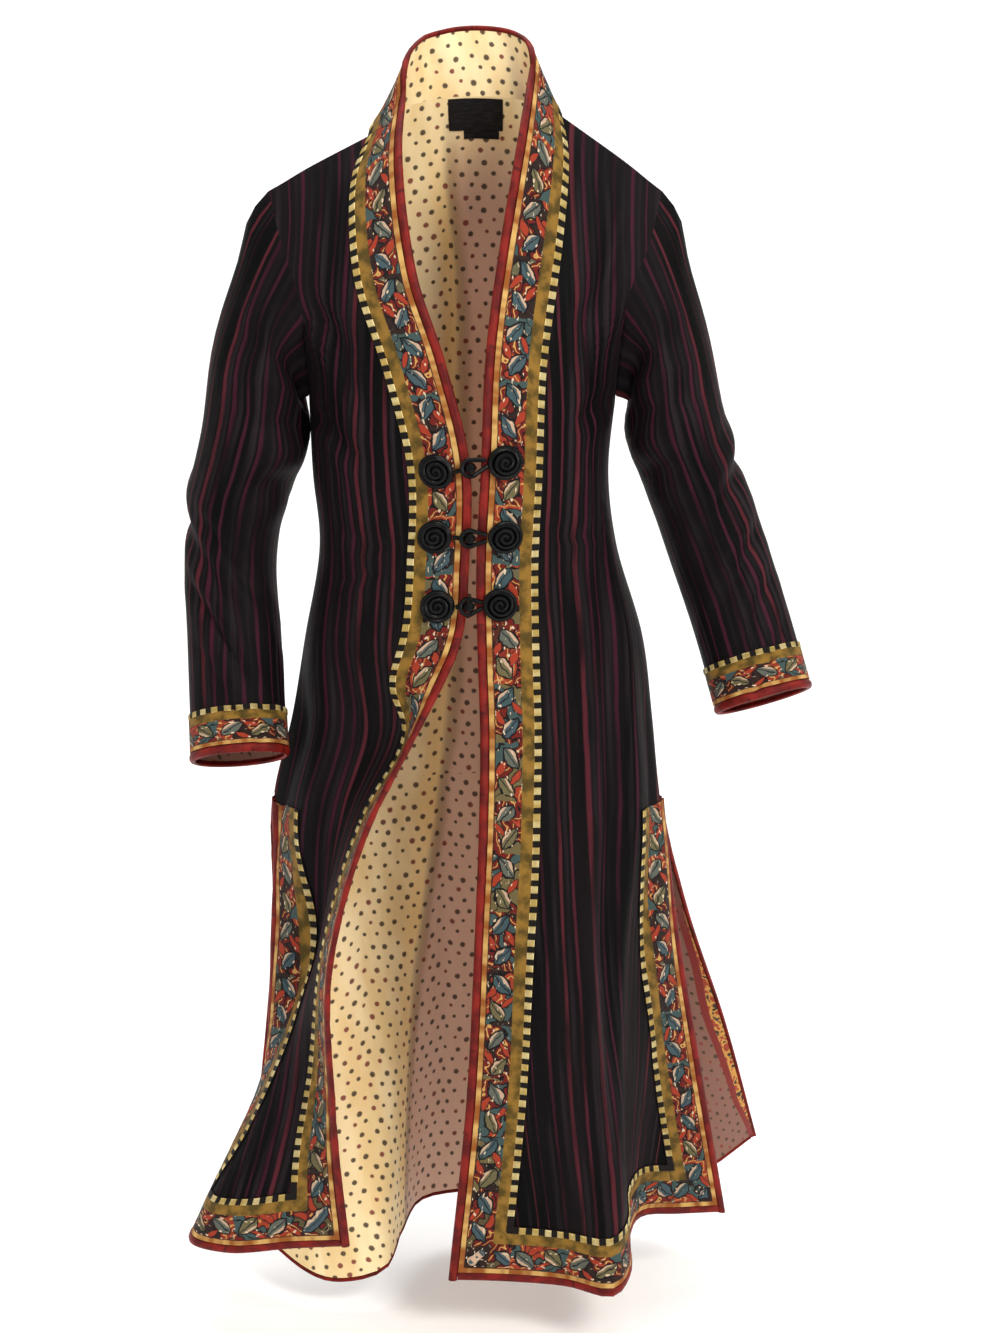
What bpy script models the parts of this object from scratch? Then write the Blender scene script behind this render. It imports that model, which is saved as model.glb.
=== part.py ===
"""Long duster coat, filled out as if worn: fronts, back, stand collar, sleeves, trim and frogs.

Metres, +Z up, the coat faces -Y. Left and right are as seen from the front.
The origin is the middle of the neck, level with the inner end of the left shoulder seam.
"""
from collections import namedtuple
from math import cos, pi, radians, sin

import bmesh
import bpy
import numpy as np

# Cloth thicknesses, and heights above the inner face of the outer cloth
SHELL = 0.0016
LINING = 0.0010
BAND = 0.0012
LABEL = 0.0008
SEAM = 0.0003
BAND_LOW = SHELL + SEAM
BAND_TOP = BAND_LOW + BAND
LINING_FACE = -SEAM - LINING

# Trim: the binding rolls round the edge, the band lies beside it
BINDING_WIDTH = 0.010
TRIM_WIDTH = 0.064
TRIM_MIDDLE = (BINDING_WIDTH + TRIM_WIDTH) / 2
CUFF_TRIM = 0.050
SLIT_NOTCH = 0.012

# Cross section of the binding: share of its width from the edge, height from the cloth's inner face
Bead = namedtuple("Bead", "share height")
BINDING_SECTION = [
    Bead(0.95, 0.0034),
    Bead(0.45, 0.0038),
    Bead(0.06, 0.0019),
    Bead(0.06, -0.0005),
    Bead(0.45, -0.0024),
    Bead(0.95, -0.0020),
]

# Neck and shoulder points
CENTRE_X = 0.004
NECK_LEFT = np.array((-0.100, 0.010, 0.000))
NECK_RIGHT = np.array((0.094, 0.010, 0.020))
NECK_BACK = np.array((CENTRE_X, 0.085, 0.042))
TIP_LEFT = np.array((-0.207, 0.010, -0.054))
TIP_RIGHT = np.array((0.201, 0.010, -0.054))
STAND_LEAN_LEFT = np.array((0.045, 0.025, 0.060))
STAND_LEAN_RIGHT = np.array((-0.032, 0.020, 0.056))

# Upper edge of the collar: its highest point, and how late it drops to the ends of the stand
COLLAR_BACK = np.array((0.008, 0.080, 0.1140))
COLLAR_DROP = 0.48

# Sections of the fronts: edge point, side point, and how far the cloth turns between them.
# No turn is given where the left front swings open: folds between the two points shape it there.
Front = namedtuple("Front", "name edge_x edge_y edge_z side_x side_y side_z turn")
FRONT_LEFT = [
    Front("collarbone", -0.066, -0.024, -0.0115, -0.191, -0.018, -0.104, 30),
    Front("chest", -0.051, -0.078, -0.130, -0.171, -0.042, -0.165, 55),
    Front("underarm", -0.021, -0.112, -0.220, -0.165, 0.000, -0.262, 85),
    Front("bust", 0.003, -0.120, -0.320, -0.162, 0.000, -0.345, 90),
    Front("waist", 0.002, -0.108, -0.420, -0.156, 0.000, -0.420, 90),
    Front("hip", -0.010, -0.110, -0.515, -0.173, 0.000, -0.520, 90),
    Front("seat", -0.058, -0.164, -0.600, -0.188, 0.000, -0.605, 0),
    Front("slit", -0.098, -0.190, -0.676, -0.209, 0.000, -0.690, 0),
]
FRONT_RIGHT = [
    Front("collarbone", 0.053, -0.022, 0.0125, 0.186, -0.018, -0.104, 30),
    Front("chest", 0.0285, -0.078, -0.130, 0.162, -0.042, -0.165, 55),
    Front("underarm", 0.0175, -0.112, -0.220, 0.152, 0.000, -0.262, 85),
    Front("bust", 0.0135, -0.120, -0.320, 0.145, 0.000, -0.345, 90),
    Front("waist", 0.0085, -0.108, -0.420, 0.154, 0.000, -0.420, 90),
    Front("hip", 0.0095, -0.106, -0.515, 0.183, 0.000, -0.520, 90),
    Front("seat", 0.012, -0.110, -0.602, 0.194, 0.000, -0.605, 90),
    Front("slit", 0.011, -0.114, -0.680, 0.203, 0.000, -0.690, 90),
]

# Sections of the back: armhole points, the middle of the back, and the turn to each side
Back = namedtuple("Back", "name side_y side_z middle_y middle_z turn")
BACK = [
    Back("collarbone", 0.038, -0.104, 0.106, -0.030, 55),
    Back("chest", 0.058, -0.165, 0.116, -0.120, 70),
    Back("underarm", 0.000, -0.262, 0.108, -0.235, 85),
    Back("bust", 0.000, -0.345, 0.096, -0.335, 90),
    Back("waist", 0.000, -0.420, 0.082, -0.420, 90),
    Back("hip", 0.000, -0.520, 0.096, -0.520, 90),
    Back("seat", 0.000, -0.605, 0.112, -0.605, 90),
    Back("slit", 0.000, -0.690, 0.118, -0.690, 90),
]

# Folds of the left front where it swings open, between its edge and its side
Fold = namedtuple("Fold", "x y z")
FRONT_LEFT_FLARE = {
    "seat": [
        Fold(-0.065, -0.102, -0.601),
        Fold(-0.104, -0.077, -0.603),
        Fold(-0.156, -0.048, -0.604),
    ],
    "slit": [
        Fold(-0.105, -0.128, -0.680),
        Fold(-0.132, -0.086, -0.684),
        Fold(-0.176, -0.054, -0.688),
    ],
}

# Skirt sections below the slit tops: a row for each edge, crest or hollow, edge to side
FRONT_LEFT_SKIRT = {
    "knee": [
        Fold(-0.137, -0.200, -0.815),
        Fold(-0.150, -0.130, -0.820),
        Fold(-0.163, -0.078, -0.825),
        Fold(-0.213, -0.032, -0.830),
    ],
    "calf": [
        Fold(-0.139, -0.165, -0.985),
        Fold(-0.166, -0.118, -0.990),
        Fold(-0.205, -0.096, -0.995),
        Fold(-0.226, -0.066, -1.000),
        Fold(-0.219, -0.028, -1.005),
    ],
    "hem": [
        Fold(-0.127, -0.130, -1.156),
        Fold(-0.190, -0.118, -1.165),
        Fold(-0.262, -0.114, -1.172),
        Fold(-0.301, -0.088, -1.174),
        Fold(-0.300, -0.045, -1.176),
        Fold(-0.272, -0.012, -1.178),
    ],
}
FRONT_RIGHT_SKIRT = {
    "knee": [
        Fold(0.006, -0.116, -0.820),
        Fold(0.075, -0.126, -0.824),
        Fold(0.132, -0.106, -0.828),
        Fold(0.178, -0.044, -0.832),
        Fold(0.225, 0.008, -0.835),
    ],
    "calf": [
        Fold(-0.003, -0.120, -0.995),
        Fold(0.060, -0.122, -1.000),
        Fold(0.110, -0.130, -1.005),
        Fold(0.148, -0.128, -1.006),
        Fold(0.168, -0.066, -1.004),
        Fold(0.198, -0.014, -1.002),
        Fold(0.254, 0.020, -1.000),
    ],
    "hem": [
        Fold(-0.023, -0.120, -1.200),
        Fold(0.040, -0.122, -1.201),
        Fold(0.105, -0.130, -1.203),
        Fold(0.154, -0.156, -1.202),
        Fold(0.170, -0.120, -1.196),
        Fold(0.172, -0.056, -1.182),
        Fold(0.190, -0.008, -1.178),
        Fold(0.236, 0.012, -1.184),
        Fold(0.288, 0.035, -1.192),
    ],
}
BACK_SKIRT_LEFT = {
    "knee": [
        Fold(-0.216, 0.016, -0.830),
        Fold(-0.172, 0.050, -0.828),
        Fold(-0.100, 0.088, -0.826),
        Fold(0.000, 0.120, -0.825),
    ],
    "calf": [
        Fold(-0.232, 0.044, -1.000),
        Fold(-0.196, 0.022, -1.004),
        Fold(-0.138, 0.010, -1.008),
        Fold(-0.092, 0.030, -1.006),
        Fold(-0.058, 0.084, -1.000),
        Fold(0.000, 0.120, -1.000),
    ],
    "hem": [
        Fold(-0.256, 0.056, -1.200),
        Fold(-0.222, 0.000, -1.216),
        Fold(-0.150, -0.048, -1.238),
        Fold(-0.100, -0.044, -1.230),
        Fold(-0.080, 0.020, -1.212),
        Fold(-0.058, 0.090, -1.202),
        Fold(0.000, 0.120, -1.203),
    ],
}
BACK_SKIRT_RIGHT = {
    "knee": [
        Fold(0.000, 0.120, -0.825),
        Fold(0.090, 0.112, -0.826),
        Fold(0.170, 0.080, -0.828),
        Fold(0.239, 0.050, -0.830),
    ],
    "calf": [
        Fold(0.000, 0.120, -1.000),
        Fold(0.075, 0.122, -1.000),
        Fold(0.135, 0.096, -1.000),
        Fold(0.205, 0.104, -0.996),
        Fold(0.291, 0.112, -0.990),
    ],
    "hem": [
        Fold(0.000, 0.120, -1.203),
        Fold(0.065, 0.128, -1.202),
        Fold(0.125, 0.084, -1.200),
        Fold(0.190, 0.126, -1.194),
        Fold(0.255, 0.112, -1.182),
        Fold(0.336, 0.172, -1.156),
    ],
}

# Rows and columns of points between one section and the next, and how finely curves are drawn
ARMHOLE_ROWS = (3, 2, 3)
BODY_ROWS = (2, 2, 2, 2, 2)
SKIRT_ROWS = (3, 3)
HEM_ROWS = 2
INNER_COLUMNS = 3
NECK_COLUMNS = 5
SHOULDER_SHARE = 0.45
SAMPLES = 40
STAND_SAMPLES = 28
CURVE_STEPS = 24
STATION_STEP = 0.005

# Sleeve rings: middle, half width seen from the front, half depth, lean to the side, pitch forward
Ring = namedtuple("Ring", "x y z half_width half_depth lean pitch")
SLEEVE_LEFT = [
    Ring(-0.2255, 0.004, -0.310, 0.0535, 0.060, -10, 0),
    Ring(-0.2450, 0.010, -0.375, 0.0490, 0.057, -13, 4),
    Ring(-0.2520, 0.006, -0.430, 0.0470, 0.055, -4, 12),
    Ring(-0.2470, -0.024, -0.520, 0.0480, 0.050, 4, 20),
    Ring(-0.2395, -0.068, -0.638, 0.0490, 0.041, 5, 24),
]
SLEEVE_RIGHT = [
    Ring(0.2175, 0.004, -0.300, 0.0515, 0.060, 12, 0),
    Ring(0.2375, 0.010, -0.354, 0.0500, 0.057, 17, 3),
    Ring(0.2600, 0.008, -0.418, 0.0500, 0.055, 20, 8),
    Ring(0.2840, -0.016, -0.490, 0.0490, 0.050, 17, 16),
    Ring(0.3100, -0.048, -0.580, 0.0490, 0.041, 16, 20),
]
CAP_ROWS = 4
SLEEVE_ROWS = (2, 2, 2, 2)
CAP_LIFT_LEFT = 0.0125
CAP_LIFT_RIGHT = 0.0060
CAP_LIFT_UNDERARM = 0.015
CAP_SHARE_OUTSIDE = 0.50
CAP_SHARE_UNDERARM = 0.15

# Frog fastenings: height, and how far each rosette's middle is from its front edge
Frog = namedtuple("Frog", "left_z right_z left_in right_in")
FROGS = [
    Frog(-0.327, -0.318, 0.034, 0.024),
    Frog(-0.394, -0.394, 0.036, 0.028),
    Frog(-0.467, -0.465, 0.030, 0.024),
]
ROSETTE_RADIUS = 0.0165
Profile = namedtuple("Profile", "share height")
ROSETTE_PROFILE = [
    Profile(0.90, 0.0011),
    Profile(1.00, 0.0036),
    Profile(0.96, 0.0064),
    Profile(0.74, 0.0086),
    Profile(0.34, 0.0092),
]
ROSETTE_SIDES = 14
CORD_RADIUS = 0.0021
STEM_RADIUS = 0.0018
KNOT_RADIUS = 0.0058
KNOT_SIDES = 8
KNOT_TURNS = (130, 100, 70, 40, 12)
KNOT_RISE = 0.0030
STEM_SHARE = 0.90
CORD_LIFT = 0.0040
CORD_GAP = 0.0007
CORD_SIDES = 6
LOOP_RISE = 0.0030
LOOP_STEPS = 11
LOOP_ARMS = (0.35, 0.70, 1.00)
LOOP_NARROWING = 0.45

# Neck label under the collar seam at the back
LABEL_WIDTH = 0.058
LABEL_DEPTH = 0.034
LABEL_TOP = 0.002
LABEL_SHIFT = 0.003
LABEL_COLUMNS = 5
LABEL_ROWS = 3
TAB_WIDTH = 0.038
TAB_DEPTH = 0.009
TAB_SHIFT = 0.009


# Curves and surfaces
def lengths(points):
    """Distance along a line of points."""
    steps = np.linalg.norm(np.diff(points, axis=0), axis=1)
    return np.concatenate(([0.0], np.cumsum(steps)))


def along(points, distances):
    """Points at the given distances along a line of points."""
    run = lengths(points)
    return np.stack([np.interp(distances, run, points[:, axis]) for axis in range(3)], axis=-1)


def smooth(knots, values, places):
    """Cubic curve through values at knots, read at places."""
    spans = np.diff(knots)
    shape = (-1,) + (1,) * (values.ndim - 1)
    slopes = np.diff(values, axis=0) / spans.reshape(shape)
    before = spans[:-1].reshape(shape)
    after = spans[1:].reshape(shape)
    inner = (slopes[:-1] * after + slopes[1:] * before) / (before + after)
    tangents = np.concatenate((slopes[:1], inner, slopes[-1:]))
    cell = np.clip(np.searchsorted(knots, places, side="right") - 1, 0, len(spans) - 1)
    width = spans[cell].reshape(shape)
    t = ((places - knots[cell]) / spans[cell]).reshape(shape)
    start = (2 * t**3 - 3 * t**2 + 1) * values[cell] + (t**3 - 2 * t**2 + t) * width * tangents[cell]
    end = (3 * t**2 - 2 * t**3) * values[cell + 1] + (t**3 - t**2) * width * tangents[cell + 1]
    return start + end


def curve(points, count):
    """Evenly spaced points of a smooth curve through a few points."""
    points = np.array(points, float)
    knots = lengths(points)
    fine = smooth(knots, points, np.linspace(0, knots[-1], CURVE_STEPS * len(points)))
    return along(fine, np.linspace(0, lengths(fine)[-1], count))


def arc(start, end, turn, count):
    """Part of an ellipse from start, where it runs across, to end, where it has turned."""
    angle = radians(turn)
    t = np.linspace(0, angle, CURVE_STEPS * count)
    across = np.sin(t) / sin(angle)
    deep = (1 - np.cos(t)) / (1 - cos(angle))
    level = t / angle
    shares = np.stack((across, deep, level), axis=-1)
    points = start + shares * (np.array(end) - np.array(start))
    return along(points, np.linspace(0, lengths(points)[-1], count))


def unit(vectors):
    """Vectors made one metre long."""
    return vectors / np.linalg.norm(vectors, axis=-1, keepdims=True)


def loft(sections):
    """Closely spaced rows through the sections, with the station of each section."""
    sections = np.array(sections)
    middle = np.linalg.norm(np.diff(sections, axis=0), axis=2).mean(axis=1)
    knots = np.concatenate(([0.0], np.cumsum(middle)))
    stations = np.linspace(0, knots[-1], int(knots[-1] / STATION_STEP) + 1)
    return smooth(knots, sections, stations), stations, knots


def row_stations(knots, counts):
    """Stations of the rows, with counts of rows from each section to the next."""
    rows = [knots[0]]
    for first, last, count in zip(knots, knots[1:], counts):
        rows.extend(np.linspace(first, last, count + 1)[1:])
    return rows


def normals(points, side, closed=False):
    """Outward direction at each point of a grid of rows and columns."""
    if closed:
        wrapped = np.concatenate((points[:, -1:], points, points[:, :1]), axis=1)
        across = (wrapped[:, 2:] - wrapped[:, :-2])
    else:
        across = np.gradient(points, axis=1)
    down = np.gradient(points, axis=0)
    return side * unit(np.cross(across, down))


def ease(outward):
    """Blend each inner direction of a grid with its four neighbours, edges kept."""
    for turn in range(2):
        around = outward[:-2, 1:-1] + outward[2:, 1:-1] + outward[1:-1, :-2] + outward[1:-1, 2:]
        outward[1:-1, 1:-1] = unit(outward[1:-1, 1:-1] + around / 4)


def draw_in(points, amount, *edges):
    """Move edge rows or columns of a grid inward by a share of the seam gap."""
    moved = points.copy()
    for edge in edges:
        if edge == "top":
            moved[0] += amount * unit(points[1] - points[0])
        if edge == "bottom":
            moved[-1] += amount * unit(points[-2] - points[-1])
        if edge == "first":
            moved[:, 0] += amount * unit(points[:, 1] - points[:, 0])
        if edge == "last":
            moved[:, -1] += amount * unit(points[:, -2] - points[:, -1])
    return moved


# Panels
def front_sections(rows, flare, skirt, neck, tip, lean):
    """Section curves of one front, from its edge to its side."""
    edge = neck + TRIM_WIDTH * unit(lean)
    stand = np.linspace(edge, neck, STAND_SAMPLES + 1)
    shoulder = np.linspace(neck, tip, 2 * SAMPLES - STAND_SAMPLES + 1)
    sections = [np.concatenate((stand, shoulder[1:]))]
    for row in rows:
        start = (row.edge_x, row.edge_y, row.edge_z)
        end = (row.side_x, row.side_y, row.side_z)
        if row.turn:
            sections.append(arc(start, end, row.turn, 2 * SAMPLES + 1))
        else:
            sections.append(curve([start, *flare[row.name], end], 2 * SAMPLES + 1))
    for folds in skirt.values():
        sections.append(curve(folds, 2 * SAMPLES + 1))
    return sections


def back_half(rows, fronts, skirt, neck, tip):
    """Section curves of half the back, from the side to the middle."""
    turns = np.linspace(0, pi / 2, CURVE_STEPS)
    neckline = np.stack([neck + (NECK_BACK - neck) * (1 - cos(t), sin(t), sin(t)) for t in turns])
    seam_count = int(SHOULDER_SHARE * SAMPLES)
    shoulder = np.linspace(tip, neck, seam_count + 1)
    neck_curve = along(neckline, np.linspace(0, lengths(neckline)[-1], SAMPLES - seam_count + 1))
    sections = [np.concatenate((shoulder, neck_curve[1:]))]
    for row, front in zip(rows, fronts):
        middle = (CENTRE_X, row.middle_y, row.middle_z)
        side = (front.side_x, row.side_y, row.side_z)
        sections.append(arc(middle, side, row.turn, SAMPLES + 1)[::-1])
    for folds in skirt.values():
        sections.append(curve(folds, SAMPLES + 1))
    return sections


def back_sections():
    """Section curves of the back, from the left side to the right side."""
    left = back_half(BACK, FRONT_LEFT, BACK_SKIRT_LEFT, NECK_LEFT, TIP_LEFT)
    skirt = {name: folds[::-1] for name, folds in BACK_SKIRT_RIGHT.items()}
    right = back_half(BACK, FRONT_RIGHT, skirt, NECK_RIGHT, TIP_RIGHT)
    return [np.concatenate((a, b[::-1][1:])) for a, b in zip(left, right)]


def front_columns(row, open_side):
    """Distances of a front's columns from its edge."""
    total = lengths(row)[-1]
    inner = np.linspace(TRIM_WIDTH, total - TRIM_WIDTH, INNER_COLUMNS + 2)
    side = total - BINDING_WIDTH if open_side else total
    edge = (0, BINDING_WIDTH, TRIM_MIDDLE)
    return np.concatenate((edge, inner, (total - TRIM_MIDDLE, side, total)))


def back_columns(row, open_side):
    """Distances of the back's columns from its left side."""
    run = lengths(row)
    neck_index = int(SHOULDER_SHARE * SAMPLES)
    total = run[-1]
    first = BINDING_WIDTH if open_side else 0.0
    middle = run[SAMPLES]
    necks = (run[neck_index], run[2 * SAMPLES - neck_index])
    left = np.linspace(TRIM_WIDTH, necks[0], INNER_COLUMNS + 2)
    left_neck = np.linspace(necks[0], middle, NECK_COLUMNS + 1)[1:]
    right_neck = np.linspace(middle, necks[1], NECK_COLUMNS + 1)[1:]
    right = np.linspace(necks[1], total - TRIM_WIDTH, INNER_COLUMNS + 2)[1:]
    edges = (0, first, TRIM_MIDDLE)
    far_edges = (total - TRIM_MIDDLE, total - first, total)
    return np.concatenate((edges, left, left_neck, right_neck, right, far_edges))


def panel_grid(sections, columns):
    """Grid of a panel: rows at the sections and along the hem, columns by distance."""
    rows, stations, knots = loft(sections)
    slit_station = knots[len(FRONT_LEFT)]
    lines = []
    for row, station in zip(rows, stations):
        lines.append(along(row, columns(row, station > slit_station + SLIT_NOTCH / 2)))
    lines = np.array(lines)
    upper = row_stations(knots, ARMHOLE_ROWS + BODY_ROWS)
    lower = row_stations(knots[len(FRONT_LEFT):], SKIRT_ROWS)[1:]
    shared = np.array(upper + [slit_station + SLIT_NOTCH] + lower)
    columns_done = []
    for column in range(lines.shape[1]):
        line = lines[:, column]
        run = lengths(line)
        reach = np.interp(shared, stations, run)
        calf = np.linspace(reach[-1], run[-1] - TRIM_WIDTH, HEM_ROWS + 1)[1:]
        hem = run[-1] - np.array((TRIM_MIDDLE, BINDING_WIDTH, 0.0))
        columns_done.append(along(line, np.concatenate((reach, calf, hem))))
    return np.stack(columns_done, axis=1)


def collar_top(left, right, count):
    """Top edge of the collar, round the back of the neck from one end of the stand to the other."""
    turns = np.linspace(-pi / 2, pi / 2, CURVE_STEPS * count)
    points = []
    for turn in turns:
        end = left if turn < 0 else right
        share_out = abs(sin(turn))
        share_up = max(cos(turn), 0.0)
        across = COLLAR_BACK[0] + share_out * (end[0] - COLLAR_BACK[0])
        deep = end[1] + share_up * (COLLAR_BACK[1] - end[1])
        high = end[2] + share_up**COLLAR_DROP * (COLLAR_BACK[2] - end[2])
        points.append((across, deep, high))
    points = np.array(points)
    return along(points, np.linspace(0, lengths(points)[-1], count))


# Grid places shared by the panels. The trim takes four lines: the edge, the binding's inner line,
# the middle of the band and the band's inner line.
TRIM_LINES = 4
BAND_LINE = TRIM_LINES - 1
UNDERARM_ROW = sum(ARMHOLE_ROWS)
SLIT_ROW = UNDERARM_ROW + sum(BODY_ROWS)
FRONT_SIDE = BAND_LINE + INNER_COLUMNS + BAND_LINE
BACK_LEFT_SIDE = 1
BACK_LEFT_NECK = TRIM_LINES + INNER_COLUMNS
BACK_RIGHT_NECK = BACK_LEFT_NECK + 2 * NECK_COLUMNS
BACK_RIGHT_SIDE = BACK_RIGHT_NECK + INNER_COLUMNS + BAND_LINE


# Sleeves
def ring_points(ring, angles, outside):
    """Points of one sleeve ring; angle 0 is the outside of the arm, 90 degrees the front."""
    lean = radians(ring.lean)
    pitch = radians(ring.pitch)
    out = np.array((outside * cos(lean), 0.0, outside * sin(lean)))
    front = np.array((0.0, -cos(pitch), sin(pitch)))
    middle = np.array((ring.x, ring.y, ring.z))
    width = ring.half_width * np.cos(angles)
    depth = ring.half_depth * np.sin(angles)
    return middle + width[:, None] * out + depth[:, None] * front


def sleeve_grid(armhole, rings, outside, cap_lift):
    """Grid of a sleeve: rows down the arm, columns round it from the shoulder tip."""
    half = UNDERARM_ROW
    angles = np.linspace(0, 2 * pi, 2 * half + 1)[:-1]
    lower = [ring_points(ring, angles, outside) for ring in rings]
    outer_part = (1 + np.cos(angles)) / 2
    lift = CAP_LIFT_UNDERARM + (cap_lift - CAP_LIFT_UNDERARM) * outer_part
    reach = CAP_SHARE_UNDERARM + (CAP_SHARE_OUTSIDE - CAP_SHARE_UNDERARM) * outer_part
    cap = armhole + reach[:, None] * (lower[0] - armhole)
    cap[:, 0] += outside * lift
    sections = [armhole, cap] + lower
    rows, stations, knots = loft(sections)
    upper = row_stations(knots, (CAP_ROWS // 2, CAP_ROWS // 2) + SLEEVE_ROWS)[:-1]
    grid = np.zeros((len(upper) + 4, len(angles), 3))
    for column in range(len(angles)):
        line = rows[:, column]
        run = lengths(line)
        reach = np.interp(upper, stations, run)
        cuff = run[-1] - np.array((CUFF_TRIM, (CUFF_TRIM + BINDING_WIDTH) / 2, BINDING_WIDTH, 0.0))
        grid[:, column] = along(line, np.concatenate((reach, cuff)))
    return grid


# Solids
def material(name, colour, roughness, metallic=0.0):
    """Principled material of one piece."""
    made = bpy.data.materials.new(name)
    made.use_nodes = True
    shader = made.node_tree.nodes["Principled BSDF"]
    shader.inputs["Base Color"].default_value = (*colour, 1.0)
    shader.inputs["Roughness"].default_value = roughness
    shader.inputs["Metallic"].default_value = metallic
    return made


CLOTH = ((0.030, 0.018, 0.022), 0.75)
DOTTED = ((0.62, 0.46, 0.24), 0.70)
BROCADE = ((0.36, 0.20, 0.12), 0.65)
RED_EDGE = ((0.35, 0.035, 0.030), 0.60)
BLACK_CORD = ((0.012, 0.012, 0.014), 0.35)
BLACK_LABEL = ((0.010, 0.010, 0.010), 0.60)


def add_object(name, points, faces, finish):
    """Named object from points and faces, with its faces turned outward."""
    mesh = bpy.data.meshes.new(name)
    mesh.from_pydata([tuple(point) for point in points], [], faces)
    shape = bmesh.new()
    shape.from_mesh(mesh)
    bmesh.ops.recalc_face_normals(shape, faces=shape.faces)
    shape.to_mesh(mesh)
    shape.free()
    mesh.shade_smooth()
    mesh.set_sharp_from_angle(angle=radians(40))
    mesh.materials.append(material(name + "_finish", *finish))
    made = bpy.data.objects.new(name, mesh)
    bpy.context.collection.objects.link(made)
    return made


def split(points, a, b, c, d):
    """Two triangles of a four-cornered face, parted along its shorter diagonal."""
    if np.linalg.norm(points[a] - points[c]) <= np.linalg.norm(points[b] - points[d]):
        return [(a, b, c), (a, c, d)]
    return [(a, b, d), (b, c, d)]


def wall(name, points, outward, low, high, finish, closed=False):
    """Cloth wall on a grid, between two heights along its outward directions."""
    rows, columns = points.shape[:2]
    inner = (points + low * outward).reshape(-1, 3)
    outer = (points + high * outward).reshape(-1, 3)
    count = rows * columns
    spans = columns if closed else columns - 1
    flat = points.reshape(-1, 3)
    faces = []
    for row in range(rows - 1):
        for column in range(spans):
            beside = (column + 1) % columns
            a = row * columns + column
            b = row * columns + beside
            c = b + columns
            d = a + columns
            halves = split(flat, a, b, c, d)
            faces.extend(halves)
            faces.extend(tuple(count + corner for corner in half[::-1]) for half in halves)
    rims = []
    for row in (0, rows - 1):
        rims.extend((row * columns + c, row * columns + (c + 1) % columns) for c in range(spans))
    if not closed:
        for column in (0, columns - 1):
            rims.extend((r * columns + column, (r + 1) * columns + column) for r in range(rows - 1))
    corners = np.concatenate((inner, outer))
    for a, b in rims:
        faces.extend(split(corners, a, b, count + b, count + a))
    return add_object(name, corners, faces, finish)


def sweep(name, stations, finish, closed=False):
    """Solid through a row of equal outlines, capped at its ends unless it closes on itself."""
    count, sides = stations.shape[:2]
    corners = stations.reshape(-1, 3)
    faces = []
    for step in range(count if closed else count - 1):
        here = step * sides
        following = (step + 1) % count * sides
        for side in range(sides):
            beside = (side + 1) % sides
            faces.extend(split(corners, here + side, here + beside, following + beside, following + side))
    if not closed:
        faces.append(tuple(range(sides)))
        faces.append(tuple(range((count - 1) * sides, count * sides)))
    return add_object(name, corners, faces, finish)


def binding(name, edge, inner, outward, closed=False):
    """Rolled binding between an edge line and the line where the cloth ends."""
    outlines = []
    for bead in BINDING_SECTION:
        outlines.append(edge + bead.share * (inner - edge) + bead.height * outward)
    return sweep(name, np.stack(outlines, axis=1), RED_EDGE, closed)


def band(name, points, outward, *short_ends, closed=False):
    """Flat trim band lying on the cloth, clear of its neighbours at the named ends."""
    return wall(name, draw_in(points, SEAM, *short_ends), outward, BAND_LOW, BAND_TOP, BROCADE, closed)


def share(*places):
    """Give grid places that lie on one seam the mean of their outward directions."""
    mean = unit(sum(directions[index] for directions, index in places))
    for directions, index in places:
        directions[index] = mean


# Frogs
def surface_frame(grid, outward, place):
    """Point and outward direction of a front at a height and a distance in from its edge."""
    z, distance = place
    lines = []
    for row in range(UNDERARM_ROW, SLIT_ROW + 1):
        reach = np.interp(distance, lengths(grid[row, :-1]), np.arange(FRONT_SIDE + 1))
        column = int(reach)
        blend = reach - column
        point = (1 - blend) * grid[row, column] + blend * grid[row, column + 1]
        out = (1 - blend) * outward[row, column] + blend * outward[row, column + 1]
        lines.append(np.concatenate((point, point + out)))
    lines = np.array(lines)[::-1]
    found = np.array([np.interp(z, lines[:, 2], lines[:, axis]) for axis in range(6)])
    point = found[:3]
    return point, unit(found[3:] - point)


def rosette(name, grid, outward, z, distance):
    """Coiled cord rosette, a low round cushion that follows the band under it."""
    angles = np.linspace(0, 2 * pi, ROSETTE_SIDES + 1)[:-1]
    stations = []
    for ring in ROSETTE_PROFILE:
        radius = ROSETTE_RADIUS * ring.share
        outline = []
        for angle in angles:
            place = (z + radius * sin(angle), distance + radius * cos(angle))
            point, out = surface_frame(grid, outward, place)
            outline.append(point + (BAND_TOP + ring.height) * out)
        stations.append(outline)
    return sweep(name, np.array(stations), BLACK_CORD)


def knot(name, start, middle, outward):
    """Ball knot at the end of its short stem."""
    axis = unit(middle - start)
    up = np.cross(axis, outward)
    reach = np.linalg.norm(middle - start)
    angles = np.linspace(0, 2 * pi, KNOT_SIDES + 1)[:-1]
    circle = np.cos(angles)[:, None] * outward + np.sin(angles)[:, None] * up
    stem_end = reach - STEM_SHARE * KNOT_RADIUS
    profile = [(0.0, STEM_RADIUS), (stem_end, STEM_RADIUS)]
    for turn in KNOT_TURNS:
        profile.append((reach + KNOT_RADIUS * cos(radians(turn)), KNOT_RADIUS * sin(radians(turn))))
    stations = [start + place * axis + radius * circle for place, radius in profile]
    return sweep(name, np.stack(stations), BLACK_CORD)


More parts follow.
